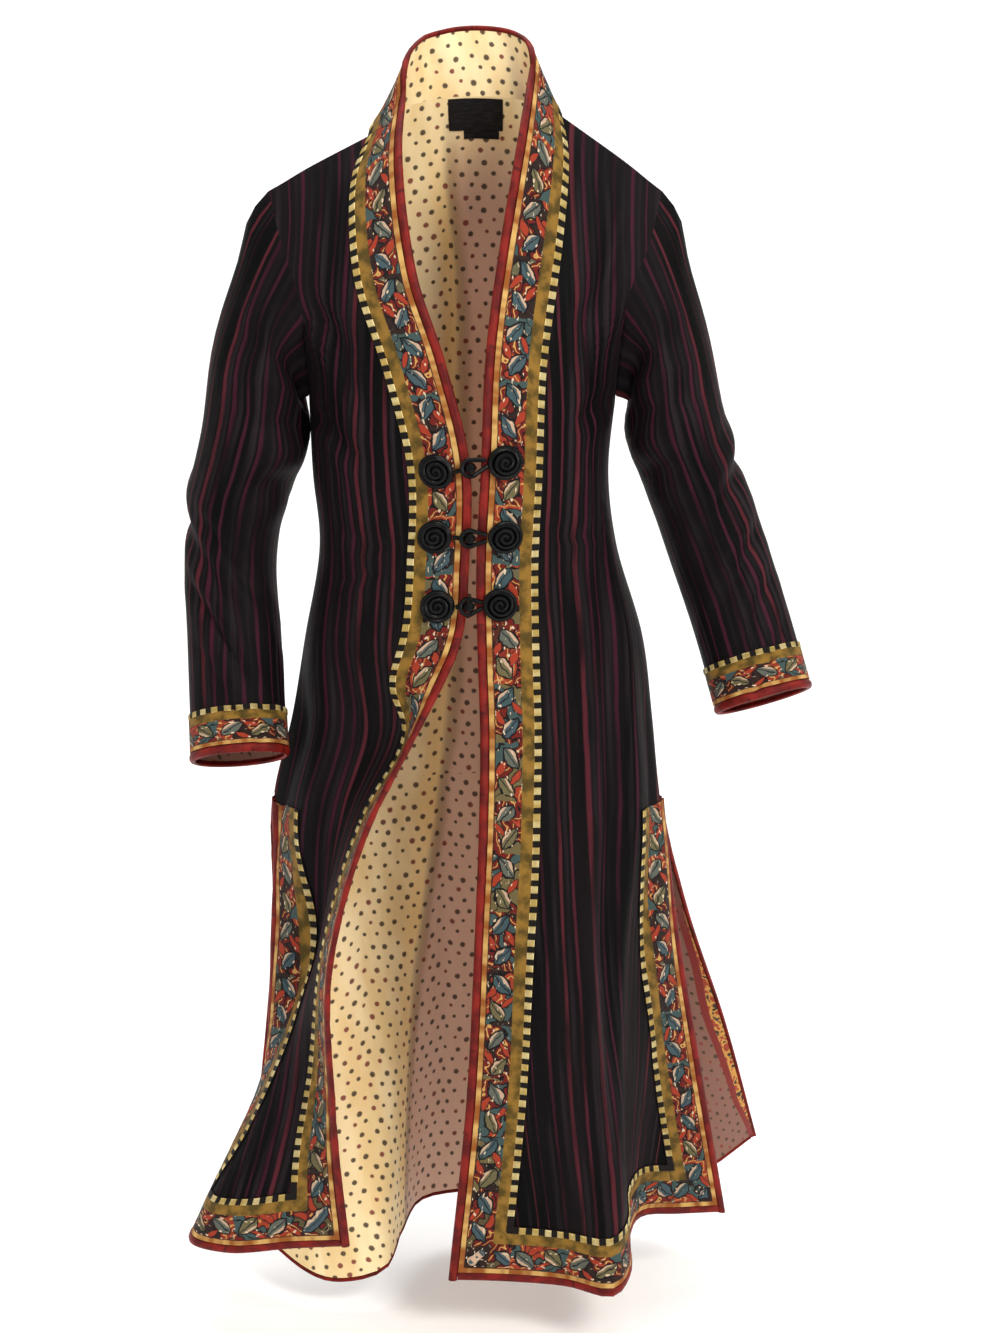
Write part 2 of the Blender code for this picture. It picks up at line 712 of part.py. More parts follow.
def loop(name, middle, end, outward):
    """Cord loop from the right rosette, slipped over the ball and lying on its stem."""
    axis = unit(middle - end)
    up = np.cross(axis, outward)
    reach = np.linalg.norm(middle - end)
    clear = KNOT_RADIUS + CORD_RADIUS + SEAM
    level_axis = unit(axis - np.dot(axis, outward) * outward)
    path = []
    for turn in np.linspace(-90, 90, LOOP_STEPS):
        above = LOOP_RISE * cos(radians(turn)) ** 2
        round_ball = clear * (cos(radians(turn)) * level_axis + sin(radians(turn)) * up)
        path.append(middle + round_ball + above * outward)
    for along_arm in LOOP_ARMS:
        arm = clear * (1 - LOOP_NARROWING * along_arm)
        path.append(middle - along_arm * reach * axis + arm * up)
        path.insert(0, middle - along_arm * reach * axis - arm * up)
    path = np.array(path)
    heading = unit(np.gradient(path, axis=0))
    flat = unit(np.cross(heading, outward))
    rise = np.cross(flat, heading)
    angles = np.linspace(0, 2 * pi, CORD_SIDES + 1)[:-1]
    ring = np.cos(angles)[None, :, None] * flat[:, None] + np.sin(angles)[None, :, None] * rise[:, None]
    return sweep(name, path[:, None] + CORD_RADIUS * ring, BLACK_CORD)


# Whole coat
def main():
    """Build every piece of the coat."""
    for old in list(bpy.data.objects):
        bpy.data.objects.remove(old)

    fronts = {
        "left": panel_grid(front_sections(FRONT_LEFT, FRONT_LEFT_FLARE, FRONT_LEFT_SKIRT, NECK_LEFT,
                                          TIP_LEFT, STAND_LEAN_LEFT), front_columns),
        "right": panel_grid(front_sections(FRONT_RIGHT, {}, FRONT_RIGHT_SKIRT, NECK_RIGHT,
                                           TIP_RIGHT, STAND_LEAN_RIGHT), front_columns),
    }
    back = panel_grid(back_sections(), back_columns)
    back_side = {"left": BACK_LEFT_SIDE, "right": BACK_RIGHT_SIDE}
    outer_side = {"left": 0, "right": back.shape[1] - 1}
    body = slice(UNDERARM_ROW, SLIT_ROW + 1)
    for name, front in fronts.items():
        seam = (front[body, FRONT_SIDE] + back[body, back_side[name]]) / 2
        for column in (FRONT_SIDE, FRONT_SIDE + 1):
            front[body, column] = seam
        for column in (back_side[name], outer_side[name]):
            back[body, column] = seam

    # Collar grid: rows from the top edge down to the neck seam, columns from left to right
    base = back[0, BACK_LEFT_NECK:BACK_RIGHT_NECK + 1]
    top = collar_top(fronts["left"][0, 0], fronts["right"][0, 0], len(base))
    shares = np.array((0, BINDING_WIDTH, TRIM_MIDDLE, TRIM_WIDTH)) / TRIM_WIDTH
    collar = top + shares[:, None, None] * (base - top)

    # Sleeve grids start at the armhole, front edge down and back edge up
    sleeves = {}
    arms = (("left", SLEEVE_LEFT, -1, CAP_LIFT_LEFT), ("right", SLEEVE_RIGHT, 1, CAP_LIFT_RIGHT))
    for name, rings, outside, cap_lift in arms:
        front_edge = fronts[name][:UNDERARM_ROW + 1, FRONT_SIDE]
        back_edge = back[1:UNDERARM_ROW, back_side[name]][::-1]
        armhole = np.concatenate((front_edge, back_edge))
        sleeves[name] = sleeve_grid(armhole, rings, outside, cap_lift)

    # Outward directions, then one mean direction for the pieces that meet at a seam
    front_out = {"left": normals(fronts["left"][:, :-1], 1), "right": normals(fronts["right"][:, :-1], -1)}
    back_out = normals(back[:, 1:-1], 1)
    back_out = np.concatenate((back_out[:, :1], back_out, back_out[:, -1:]), axis=1)
    collar_out = normals(collar, 1)
    sleeve_out = {"left": normals(sleeves["left"], -1, True), "right": normals(sleeves["right"], 1, True)}
    collar_end = {"left": 0, "right": -1}
    back_neck = {"left": BACK_LEFT_NECK, "right": BACK_RIGHT_NECK}
    for name, out in front_out.items():
        inward = 1 if name == "left" else -1
        for row in range(UNDERARM_ROW + 1, SLIT_ROW + 1):
            share((out, (row, FRONT_SIDE)), (back_out, (row, back_side[name])))
        for step in range(1, FRONT_SIDE - BAND_LINE):
            place = (0, FRONT_SIDE - step)
            share((out, place), (back_out, (0, back_side[name] + inward * step)))
        for row in range(BAND_LINE):
            share((out, (0, row)), (collar_out, (row, collar_end[name])))
        neck_end = (collar_out, (BAND_LINE, collar_end[name]))
        share((out, (0, BAND_LINE)), (back_out, (0, back_neck[name])), neck_end)
        arm = sleeve_out[name]
        turn = 2 * UNDERARM_ROW
        for row in range(UNDERARM_ROW + 1):
            meeting = [(arm, (0, row))]
            if row in (0, UNDERARM_ROW):
                meeting += [(out, (row, FRONT_SIDE)), (back_out, (row, back_side[name]))]
            else:
                meeting += [(out, (row, FRONT_SIDE))]
                share((arm, (0, turn - row)), (back_out, (row, back_side[name])))
            share(*meeting)
    for step in range(1, 2 * NECK_COLUMNS):
        share((back_out, (0, BACK_LEFT_NECK + step)), (collar_out, (BAND_LINE, step)))

    for out in (*front_out.values(), back_out[:, 1:-1], collar_out):
        ease(out)

    # Cloth is drawn in by half the gap at every seam, and ends where the hem's binding starts
    half_gap = SEAM / 2
    hem_end = -1
    hem = slice(-TRIM_LINES, hem_end)
    inside = slice(BAND_LINE, -BAND_LINE)
    below = slice(SLIT_ROW + 1, hem_end)
    rows = slice(SLIT_ROW + 1, None)
    for name, front in fronts.items():
        out = front_out[name]
        cloth = draw_in(front[:hem_end, 1:-1], half_gap, "top", "last")
        wall("front_" + name, cloth, out[:hem_end, 1:], 0.0, SHELL, CLOTH)
        trim = draw_in(front[:, :TRIM_LINES], half_gap, "top")
        band("band_front_" + name, trim[:hem_end, 1:], out[:hem_end, 1:TRIM_LINES])
        binding("binding_front_" + name, trim[:, 0], trim[:, 1], out[:, 1])
        band("band_slit_front_" + name, front[below, -TRIM_LINES:-1], out[below, -BAND_LINE:])
        binding("binding_slit_front_" + name, front[rows, -1], front[rows, -2], out[rows, -1])
        band("band_hem_front_" + name, front[hem, inside], out[hem, BAND_LINE:1 - BAND_LINE], "first", "last")
        binding("binding_hem_front_" + name, front[-1, 1:-1], front[-2, 1:-1], out[-2, 1:])

    cloth = draw_in(back[:hem_end, 1:-1], half_gap, "top", "first", "last")
    wall("back", cloth, back_out[:hem_end, 1:-1], 0.0, SHELL, CLOTH)
    wall("back_lining", cloth, back_out[:hem_end, 1:-1], LINING_FACE, -SEAM, DOTTED)
    band("band_slit_back_left", back[below, 1:TRIM_LINES], back_out[below, 1:TRIM_LINES])
    band("band_slit_back_right", back[below, -TRIM_LINES:-1], back_out[below, -TRIM_LINES:-1])
    binding("binding_slit_back_left", back[rows, 0], back[rows, 1], back_out[rows, 1])
    binding("binding_slit_back_right", back[rows, -1], back[rows, -2], back_out[rows, -2])
    band("band_hem_back", back[hem, inside], back_out[hem, inside], "first", "last")
    binding("binding_hem_back", back[-1, 1:-1], back[-2, 1:-1], back_out[-2, 1:-1])

    cloth = draw_in(collar, half_gap, "bottom", "first", "last")
    stand = draw_in(cloth[1:], SEAM, "top")
    wall("collar", stand, collar_out[1:], 0.0, SHELL, CLOTH)
    wall("collar_lining", stand, collar_out[1:], LINING_FACE, -SEAM, DOTTED)
    band("band_collar", stand, collar_out[1:])
    binding("binding_collar", cloth[0], cloth[1], collar_out[1])

    for name, sleeve in sleeves.items():
        out = sleeve_out[name]
        wall("sleeve_" + name, draw_in(sleeve, half_gap, "top")[:-1], out[:-1], 0.0, SHELL, CLOTH, True)
        band("band_cuff_" + name, sleeve[hem], out[hem], closed=True)
        binding("binding_cuff_" + name, sleeve[-1], sleeve[-2], out[-2], True)

    for number, frog in enumerate(FROGS, 1):
        title = "frog_%d_" % number
        rim = ROSETTE_RADIUS + CORD_GAP
        left_place = (frog.left_z, frog.left_in - rim)
        right_place = (frog.right_z, frog.right_in - rim)
        left, left_out = surface_frame(fronts["left"], front_out["left"], left_place)
        right, right_out = surface_frame(fronts["right"], front_out["right"], right_place)
        rosette(title + "rosette_left", fronts["left"], front_out["left"], frog.left_z, frog.left_in)
        rosette(title + "rosette_right", fronts["right"], front_out["right"], frog.right_z, frog.right_in)
        outward = unit(left_out + right_out)
        stem_start = left + (BAND_TOP + CORD_LIFT) * left_out
        loop_end = right + (BAND_TOP + CORD_LIFT) * right_out
        middle = (stem_start + loop_end) / 2 + KNOT_RISE * outward
        knot(title + "knot", stem_start, middle, outward)
        loop(title + "loop", middle, loop_end, outward)

    place_label(back, back_out)


def place_label(back, back_out):
    """Neck label and its tab on the back lining, just under the collar seam."""
    lines = []
    for row in range(UNDERARM_ROW):
        faces = back[row] + (LINING_FACE - SEAM) * back_out[row]
        run = lengths(faces)
        lines.append((faces, run[BACK_LEFT_NECK + NECK_COLUMNS], back_out[row]))

    def patch(name, width, shift, top, bottom):
        shares = shift + np.linspace(-width / 2, width / 2, LABEL_COLUMNS)
        strip = np.array([along(faces, middle + shares) for faces, middle, out in lines])
        outs = np.array([along(faces + out, middle + shares) for faces, middle, out in lines])
        drops = np.linspace(top, bottom, LABEL_ROWS)
        points = np.stack([along(strip[:, c], drops) for c in range(len(shares))], axis=1)
        ends = np.stack([along(outs[:, c], drops) for c in range(len(shares))], axis=1)
        wall(name, points, unit(ends - points), -LABEL, 0.0, BLACK_LABEL)

    patch("neck_label", LABEL_WIDTH, LABEL_SHIFT, LABEL_TOP, LABEL_TOP + LABEL_DEPTH)
    tab_top = LABEL_TOP + LABEL_DEPTH + SEAM
    patch("label_tab", TAB_WIDTH, TAB_SHIFT, tab_top, tab_top + TAB_DEPTH)


main()
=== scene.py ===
# %% [markdown]
# A long duster coat, shown filled out as if it were worn: striped outer cloth, a dotted lining, a broad
# trim along every edge and cord frogs at the waist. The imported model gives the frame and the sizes.
# Every visible piece here is laid on the same sections as its solid, only with many more rows, so that
# soft creases, rolled edges and coiled cord can be shaped.

# %% Load the frame
from collections import namedtuple
from math import cos, pi, radians, sin

import bmesh
import bpy
import numpy as np
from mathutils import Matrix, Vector


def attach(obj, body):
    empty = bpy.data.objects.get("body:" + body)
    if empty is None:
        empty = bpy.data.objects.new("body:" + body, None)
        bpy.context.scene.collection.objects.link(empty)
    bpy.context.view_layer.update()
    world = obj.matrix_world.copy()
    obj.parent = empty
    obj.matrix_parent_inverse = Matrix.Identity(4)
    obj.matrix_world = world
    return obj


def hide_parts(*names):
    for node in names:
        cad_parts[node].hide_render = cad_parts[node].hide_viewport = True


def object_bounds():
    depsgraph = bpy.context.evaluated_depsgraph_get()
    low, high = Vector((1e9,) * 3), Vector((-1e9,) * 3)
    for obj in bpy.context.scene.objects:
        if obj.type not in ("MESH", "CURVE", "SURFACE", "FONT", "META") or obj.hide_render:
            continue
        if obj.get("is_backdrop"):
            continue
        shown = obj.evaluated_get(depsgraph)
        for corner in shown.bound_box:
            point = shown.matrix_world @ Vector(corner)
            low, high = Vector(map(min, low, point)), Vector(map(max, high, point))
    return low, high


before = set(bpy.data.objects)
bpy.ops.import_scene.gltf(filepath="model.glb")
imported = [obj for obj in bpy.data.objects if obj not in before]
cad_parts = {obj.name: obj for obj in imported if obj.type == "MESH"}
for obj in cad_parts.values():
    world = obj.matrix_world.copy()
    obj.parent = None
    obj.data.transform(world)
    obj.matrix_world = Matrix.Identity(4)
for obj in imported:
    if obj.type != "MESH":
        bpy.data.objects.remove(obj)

cad_low, cad_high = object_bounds()
print("solids:", len(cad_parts), "lowest point", round(cad_low[2], 3))

# %% [markdown]
# The coat is drawn from a little above, at about chest height, with a long lens. A camera is set by its
# place, its tilt and its lens. It could also be aimed with a constraint, but plain numbers are easier to
# compare with the picture.

# %% Camera
CAMERA_PLACE = (0.0328, -2.6, 0.0)
CAMERA_TILT = 78
CAMERA_LENS = 67.3

camera_data = bpy.data.cameras.new("camera")
camera_data.lens = CAMERA_LENS
camera = bpy.data.objects.new("camera", camera_data)
camera.location = CAMERA_PLACE
camera.rotation_euler = (radians(CAMERA_TILT), 0, 0)
bpy.context.scene.collection.objects.link(camera)
bpy.context.scene.camera = camera
print("camera lens", CAMERA_LENS, "mm")

# %% [markdown]
# The picture has a plain white ground. A wide pale floor that bends up into a wall, as a paper roll does in
# a studio, gives that without a line at the horizon. A plane and a wall would show their corner.

# %% Backdrop
FLOOR_GAP = 0.03
BACKDROP_HALF = 9.0
BACKDROP_FRONT = -6.0
BACKDROP_BACK = 3.4
BACKDROP_BEND = 1.2
BACKDROP_TOP = 5.0
BACKDROP_GLOW = 0.16
BEND_STEPS = 12
PAPER_COLOUR = (0.90, 0.90, 0.89, 1)
PAPER_ROUGHNESS = 0.9

paper = bpy.data.materials.new("pale_paper")
paper.use_nodes = True
paper_shader = paper.node_tree.nodes["Principled BSDF"]
paper_shader.inputs["Base Color"].default_value = PAPER_COLOUR
paper_shader.inputs["Roughness"].default_value = PAPER_ROUGHNESS
paper_shader.inputs["Emission Color"].default_value = (1, 1, 1, 1)
paper_shader.inputs["Emission Strength"].default_value = BACKDROP_GLOW

floor_level = cad_low[2] - FLOOR_GAP
profile = [(BACKDROP_FRONT, floor_level)]
for turn in np.linspace(0, pi / 2, BEND_STEPS + 1):
    profile.append((BACKDROP_BACK + BACKDROP_BEND * sin(turn), floor_level + BACKDROP_BEND * (1 - cos(turn))))
profile.append((BACKDROP_BACK + BACKDROP_BEND, floor_level + BACKDROP_TOP))
places = [(x, y, z) for y, z in profile for x in (-BACKDROP_HALF, BACKDROP_HALF)]
strips = [(2 * n, 2 * n + 1, 2 * n + 3, 2 * n + 2) for n in range(len(profile) - 1)]
backdrop_mesh = bpy.data.meshes.new("backdrop")
backdrop_mesh.from_pydata(places, [], strips)
backdrop_mesh.shade_smooth()
backdrop_mesh.materials.append(paper)
backdrop = bpy.data.objects.new("backdrop", backdrop_mesh)
bpy.context.scene.collection.objects.link(backdrop)
backdrop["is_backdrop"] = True
print("floor at", round(floor_level, 3))

# %% [markdown]
# A pale sky lights the coat evenly from all round. The stronger lamp stands to the right, so that the left
# half of the lining glows and its right half falls into the shade of the right front. Each lamp is turned
# towards the middle of the coat, so it still points the right way after it is moved.

# %% Sky and lights
SKY_COLOUR = (1.0, 0.99, 0.975, 1)
SKY_STRENGTH = 0.62
COAT_MIDDLE = Vector((0.0, 0.0, -0.55))
Lamp = namedtuple("Lamp", "name place size power colour")
LAMPS = [
    Lamp("key_light", (2.0, -2.8, 1.9), 1.4, 120, (1.0, 0.97, 0.92)),
    Lamp("fill_light", (-2.8, -2.2, 0.8), 2.4, 24, (1.0, 0.93, 0.93)),
    Lamp("backdrop_light", (0.0, 0.9, 3.2), 3.0, 110, (1.0, 1.0, 1.0)),
]

sky = bpy.data.worlds.new("pale_sky")
sky.use_nodes = True
sky_shader = sky.node_tree.nodes["Background"]
sky_shader.inputs["Color"].default_value = SKY_COLOUR
sky_shader.inputs["Strength"].default_value = SKY_STRENGTH
bpy.context.scene.world = sky
for lamp in LAMPS:
    light_data = bpy.data.lights.new(lamp.name, "AREA")
    light_data.size = lamp.size
    light_data.energy = lamp.power
    light_data.color = lamp.colour
    light = bpy.data.objects.new(lamp.name, light_data)
    light.location = lamp.place
    light.rotation_euler = (COAT_MIDDLE - light.location).to_track_quat("-Z", "Y").to_euler()
    bpy.context.scene.collection.objects.link(light)
bpy.context.scene.view_settings.view_transform = "Standard"
print("lights", len(LAMPS))

# %% [markdown]
# Cloth is thin, so every piece is described by its distance from one reference surface: the inner face
# of the outer cloth. The cloth lies on it, the trim band lies on the cloth, the lining lies behind it.

# %% Thicknesses and trim sizes
SHELL = 0.0016
LINING = 0.0010
BAND = 0.0012
LABEL = 0.0008
SEAM = 0.0003
BAND_LOW = SHELL + SEAM
BAND_TOP = BAND_LOW + BAND
LINING_FACE = -SEAM - LINING
BINDING_WIDTH = 0.010
TRIM_WIDTH = 0.064
CUFF_TRIM = 0.050
SLIT_NOTCH = 0.012
BAND_STEPS = 9
CUFF_STEPS = 7
TRIM_LINES = np.concatenate(([0.0], np.linspace(BINDING_WIDTH, TRIM_WIDTH, BAND_STEPS + 1)))
CUFF_LINES = np.concatenate(([0.0], np.linspace(BINDING_WIDTH, CUFF_TRIM, CUFF_STEPS + 1)))
print("trim lines", len(TRIM_LINES), "cuff lines", len(CUFF_LINES))

# %% [markdown]
# A tailor's dummy is measured in rings. The coat is described in the same way: each row of a table is one
# section, with the point at the front edge, the point at the side, and how far the cloth turns between
# them. Where the left front swings open there is no single turn, and a few folds shape the section.

# %% Sections of the upper body
CENTRE_X = 0.004
NECK_LEFT = np.array((-0.100, 0.010, 0.000))
NECK_RIGHT = np.array((0.094, 0.010, 0.020))
NECK_BACK = np.array((CENTRE_X, 0.085, 0.042))
TIP_LEFT = np.array((-0.207, 0.010, -0.054))
TIP_RIGHT = np.array((0.201, 0.010, -0.054))
STAND_LEAN_LEFT = np.array((0.045, 0.025, 0.060))
STAND_LEAN_RIGHT = np.array((-0.032, 0.020, 0.056))
COLLAR_BACK = np.array((0.008, 0.080, 0.1140))
COLLAR_DROP = 0.48

Front = namedtuple("Front", "name edge_x edge_y edge_z side_x side_y side_z turn")
FRONT_LEFT = [
    Front("collarbone", -0.066, -0.024, -0.0115, -0.191, -0.018, -0.104, 30),
    Front("chest", -0.051, -0.078, -0.130, -0.171, -0.042, -0.165, 55),
    Front("underarm", -0.021, -0.112, -0.220, -0.165, 0.000, -0.262, 85),
    Front("bust", 0.003, -0.120, -0.320, -0.162, 0.000, -0.345, 90),
    Front("waist", 0.002, -0.108, -0.420, -0.156, 0.000, -0.420, 90),
    Front("hip", -0.010, -0.110, -0.515, -0.173, 0.000, -0.520, 90),
    Front("seat", -0.058, -0.164, -0.600, -0.188, 0.000, -0.605, 0),
    Front("slit", -0.098, -0.190, -0.676, -0.209, 0.000, -0.690, 0),
]
FRONT_RIGHT = [
    Front("collarbone", 0.053, -0.022, 0.0125, 0.186, -0.018, -0.104, 30),
    Front("chest", 0.0285, -0.078, -0.130, 0.162, -0.042, -0.165, 55),
    Front("underarm", 0.0175, -0.112, -0.220, 0.152, 0.000, -0.262, 85),
    Front("bust", 0.0135, -0.120, -0.320, 0.145, 0.000, -0.345, 90),
    Front("waist", 0.0085, -0.108, -0.420, 0.154, 0.000, -0.420, 90),
    Front("hip", 0.0095, -0.106, -0.515, 0.183, 0.000, -0.520, 90),
    Front("seat", 0.012, -0.110, -0.602, 0.194, 0.000, -0.605, 90),
    Front("slit", 0.011, -0.114, -0.680, 0.203, 0.000, -0.690, 90),
]
Back = namedtuple("Back", "name side_y side_z middle_y middle_z turn")
BACK = [
    Back("collarbone", 0.038, -0.104, 0.106, -0.030, 55),
    Back("chest", 0.058, -0.165, 0.116, -0.120, 70),
    Back("underarm", 0.000, -0.262, 0.108, -0.235, 85),
    Back("bust", 0.000, -0.345, 0.096, -0.335, 90),
    Back("waist", 0.000, -0.420, 0.082, -0.420, 90),
    Back("hip", 0.000, -0.520, 0.096, -0.520, 90),
    Back("seat", 0.000, -0.605, 0.112, -0.605, 90),
    Back("slit", 0.000, -0.690, 0.118, -0.690, 90),
]
print("body sections", len(BACK))

# %% [markdown]
# Below the slits each panel hangs free. Its sections are drawn through the edge, the crests and the
# hollows of its folds, one row of the table for each, and the same at knee, calf and hem.

# %% Sections of the skirt
Fold = namedtuple("Fold", "x y z")
FRONT_LEFT_FLARE = {
    "seat": [
        Fold(-0.065, -0.102, -0.601),
        Fold(-0.104, -0.077, -0.603),
        Fold(-0.156, -0.048, -0.604),
    ],
    "slit": [
        Fold(-0.105, -0.128, -0.680),
        Fold(-0.132, -0.086, -0.684),
        Fold(-0.176, -0.054, -0.688),
    ],
}
FRONT_LEFT_SKIRT = {
    "knee": [
        Fold(-0.137, -0.200, -0.815),
        Fold(-0.150, -0.130, -0.820),
        Fold(-0.163, -0.078, -0.825),
        Fold(-0.213, -0.032, -0.830),
    ],
    "calf": [
        Fold(-0.139, -0.165, -0.985),
        Fold(-0.166, -0.118, -0.990),
        Fold(-0.205, -0.096, -0.995),
        Fold(-0.226, -0.066, -1.000),
        Fold(-0.219, -0.028, -1.005),
    ],
    "hem": [
        Fold(-0.127, -0.130, -1.156),
        Fold(-0.190, -0.118, -1.165),
        Fold(-0.262, -0.114, -1.172),
        Fold(-0.301, -0.088, -1.174),
        Fold(-0.300, -0.045, -1.176),
        Fold(-0.272, -0.012, -1.178),
    ],
}
FRONT_RIGHT_SKIRT = {
    "knee": [
        Fold(0.006, -0.116, -0.820),
        Fold(0.075, -0.126, -0.824),
        Fold(0.132, -0.106, -0.828),
        Fold(0.178, -0.044, -0.832),
        Fold(0.225, 0.008, -0.835),
    ],
    "calf": [
        Fold(-0.003, -0.120, -0.995),
        Fold(0.060, -0.122, -1.000),
        Fold(0.110, -0.130, -1.005),
        Fold(0.148, -0.128, -1.006),
        Fold(0.168, -0.066, -1.004),
        Fold(0.198, -0.014, -1.002),
        Fold(0.254, 0.020, -1.000),
    ],
    "hem": [
        Fold(-0.023, -0.120, -1.200),
        Fold(0.040, -0.122, -1.201),
        Fold(0.105, -0.130, -1.203),
        Fold(0.154, -0.156, -1.202),
        Fold(0.170, -0.120, -1.196),
        Fold(0.172, -0.056, -1.182),
        Fold(0.190, -0.008, -1.178),
        Fold(0.236, 0.012, -1.184),
        Fold(0.288, 0.035, -1.192),
    ],
}
BACK_SKIRT_LEFT = {
    "knee": [
        Fold(-0.216, 0.016, -0.830),
        Fold(-0.172, 0.050, -0.828),
        Fold(-0.100, 0.088, -0.826),
        Fold(0.000, 0.120, -0.825),
    ],
    "calf": [
        Fold(-0.232, 0.044, -1.000),
        Fold(-0.196, 0.022, -1.004),
        Fold(-0.138, 0.010, -1.008),
        Fold(-0.092, 0.030, -1.006),
        Fold(-0.058, 0.084, -1.000),
        Fold(0.000, 0.120, -1.000),
    ],
    "hem": [
        Fold(-0.256, 0.056, -1.200),
        Fold(-0.222, 0.000, -1.216),
        Fold(-0.150, -0.048, -1.238),
        Fold(-0.100, -0.044, -1.230),
        Fold(-0.080, 0.020, -1.212),
        Fold(-0.058, 0.090, -1.202),
        Fold(0.000, 0.120, -1.203),
    ],
}
BACK_SKIRT_RIGHT = {
    "knee": [
        Fold(0.000, 0.120, -0.825),
        Fold(0.090, 0.112, -0.826),
        Fold(0.170, 0.080, -0.828),
        Fold(0.239, 0.050, -0.830),
    ],
    "calf": [
        Fold(0.000, 0.120, -1.000),
        Fold(0.075, 0.122, -1.000),
        Fold(0.135, 0.096, -1.000),
        Fold(0.205, 0.104, -0.996),
        Fold(0.291, 0.112, -0.990),
    ],
    "hem": [
        Fold(0.000, 0.120, -1.203),
        Fold(0.065, 0.128, -1.202),
        Fold(0.125, 0.084, -1.200),
        Fold(0.190, 0.126, -1.194),
        Fold(0.255, 0.112, -1.182),
        Fold(0.336, 0.172, -1.156),
    ],
}
print("skirt sections", len(FRONT_RIGHT_SKIRT))

# %% [markdown]
# A sleeve is a row of leaning ovals from the armhole to the wrist. Each ring has its middle, its half
# width and half depth, a lean to the side and a pitch forward, because the arms hang a little bent.

# %% Sleeve rings
Ring = namedtuple("Ring", "x y z half_width half_depth lean pitch")
SLEEVE_LEFT = [
    Ring(-0.2255, 0.004, -0.310, 0.0535, 0.060, -10, 0),
    Ring(-0.2450, 0.010, -0.375, 0.0490, 0.057, -13, 4),
    Ring(-0.2520, 0.006, -0.430, 0.0470, 0.055, -4, 12),
    Ring(-0.2470, -0.024, -0.520, 0.0480, 0.050, 4, 20),
    Ring(-0.2395, -0.068, -0.638, 0.0490, 0.041, 5, 24),
]
SLEEVE_RIGHT = [
    Ring(0.2175, 0.004, -0.300, 0.0515, 0.060, 12, 0),
    Ring(0.2375, 0.010, -0.354, 0.0500, 0.057, 17, 3),
    Ring(0.2600, 0.008, -0.418, 0.0500, 0.055, 20, 8),
    Ring(0.2840, -0.016, -0.490, 0.0490, 0.050, 17, 16),
    Ring(0.3100, -0.048, -0.580, 0.0490, 0.041, 16, 20),
]
CAP_LIFT_LEFT = 0.0125
CAP_LIFT_RIGHT = 0.0060
CAP_LIFT_UNDERARM = 0.015
CAP_SHARE_OUTSIDE = 0.50
CAP_SHARE_UNDERARM = 0.15
print("sleeve rings", len(SLEEVE_LEFT))

# %% [markdown]
# Sections become a surface in two steps. A few points are joined by a smooth curve, and then the curves
# are joined to each other in the same smooth way from shoulder to hem. Blender could loft curves with a
# modifier, but plain arithmetic keeps the rows where the trim and the seams need them.

# %% Curves
SAMPLES = 40
STAND_SAMPLES = 28
CURVE_STEPS = 24
STATION_STEP = 0.005
SHOULDER_SHARE = 0.45


def lengths(points):
    """Distance along a line of points."""
    steps = np.linalg.norm(np.diff(points, axis=0), axis=1)
    return np.concatenate(([0.0], np.cumsum(steps)))


def read(run, values, places):
    """Rows of values that stand along a run, read at the given places."""
    return np.stack([np.interp(places, run, values[:, axis]) for axis in range(values.shape[1])], axis=-1)


def along(points, distances):
    """Points at the given distances along a line of points."""
    return read(lengths(points), points, distances)


def smooth(knots, values, places):
    """Cubic curve through values at knots, read at places."""
    spans = np.diff(knots)
    shape = (-1,) + (1,) * (values.ndim - 1)
    slopes = np.diff(values, axis=0) / spans.reshape(shape)
    before = spans[:-1].reshape(shape)
    after = spans[1:].reshape(shape)
    inner = (slopes[:-1] * after + slopes[1:] * before) / (before + after)
    tangents = np.concatenate((slopes[:1], inner, slopes[-1:]))
    cell = np.clip(np.searchsorted(knots, places, side="right") - 1, 0, len(spans) - 1)
    width = spans[cell].reshape(shape)
    t = ((places - knots[cell]) / spans[cell]).reshape(shape)
    start = (2 * t**3 - 3 * t**2 + 1) * values[cell] + (t**3 - 2 * t**2 + t) * width * tangents[cell]
    end = (3 * t**2 - 2 * t**3) * values[cell + 1] + (t**3 - t**2) * width * tangents[cell + 1]
    return start + end


def curve(points, count):
    """Evenly spaced points of a smooth curve through a few points."""
    points = np.array(points, float)
    knots = lengths(points)
    fine = smooth(knots, points, np.linspace(0, knots[-1], CURVE_STEPS * len(points)))
    return along(fine, np.linspace(0, lengths(fine)[-1], count))


def arc(start, end, turn, count):
    """Part of an ellipse from start, where it runs across, to end, where it has turned."""
    angle = radians(turn)
    t = np.linspace(0, angle, CURVE_STEPS * count)
    shares = np.stack((np.sin(t) / sin(angle), (1 - np.cos(t)) / (1 - cos(angle)), t / angle), axis=-1)
    points = start + shares * (np.array(end) - np.array(start))
    return along(points, np.linspace(0, lengths(points)[-1], count))


def unit(vectors):
    """Vectors scaled to a length of one."""
    return vectors / np.linalg.norm(vectors, axis=-1, keepdims=True)


def loft(sections):
    """Closely spaced rows through the sections, with the station of each section."""
    sections = np.array(sections)
    middle = np.linalg.norm(np.diff(sections, axis=0), axis=2).mean(axis=1)
    knots = np.concatenate(([0.0], np.cumsum(middle)))
    stations = np.linspace(0, knots[-1], int(knots[-1] / STATION_STEP) + 1)
    return smooth(knots, sections, stations), stations, knots


print("curve helpers ready")

# %% [markdown]
# The fronts run from their edge to the side seam, the back from one side to the other. At the shoulder a
# front's section first goes down the stand of the collar, so the trim runs on from the front edge up to
# the neck without a break.

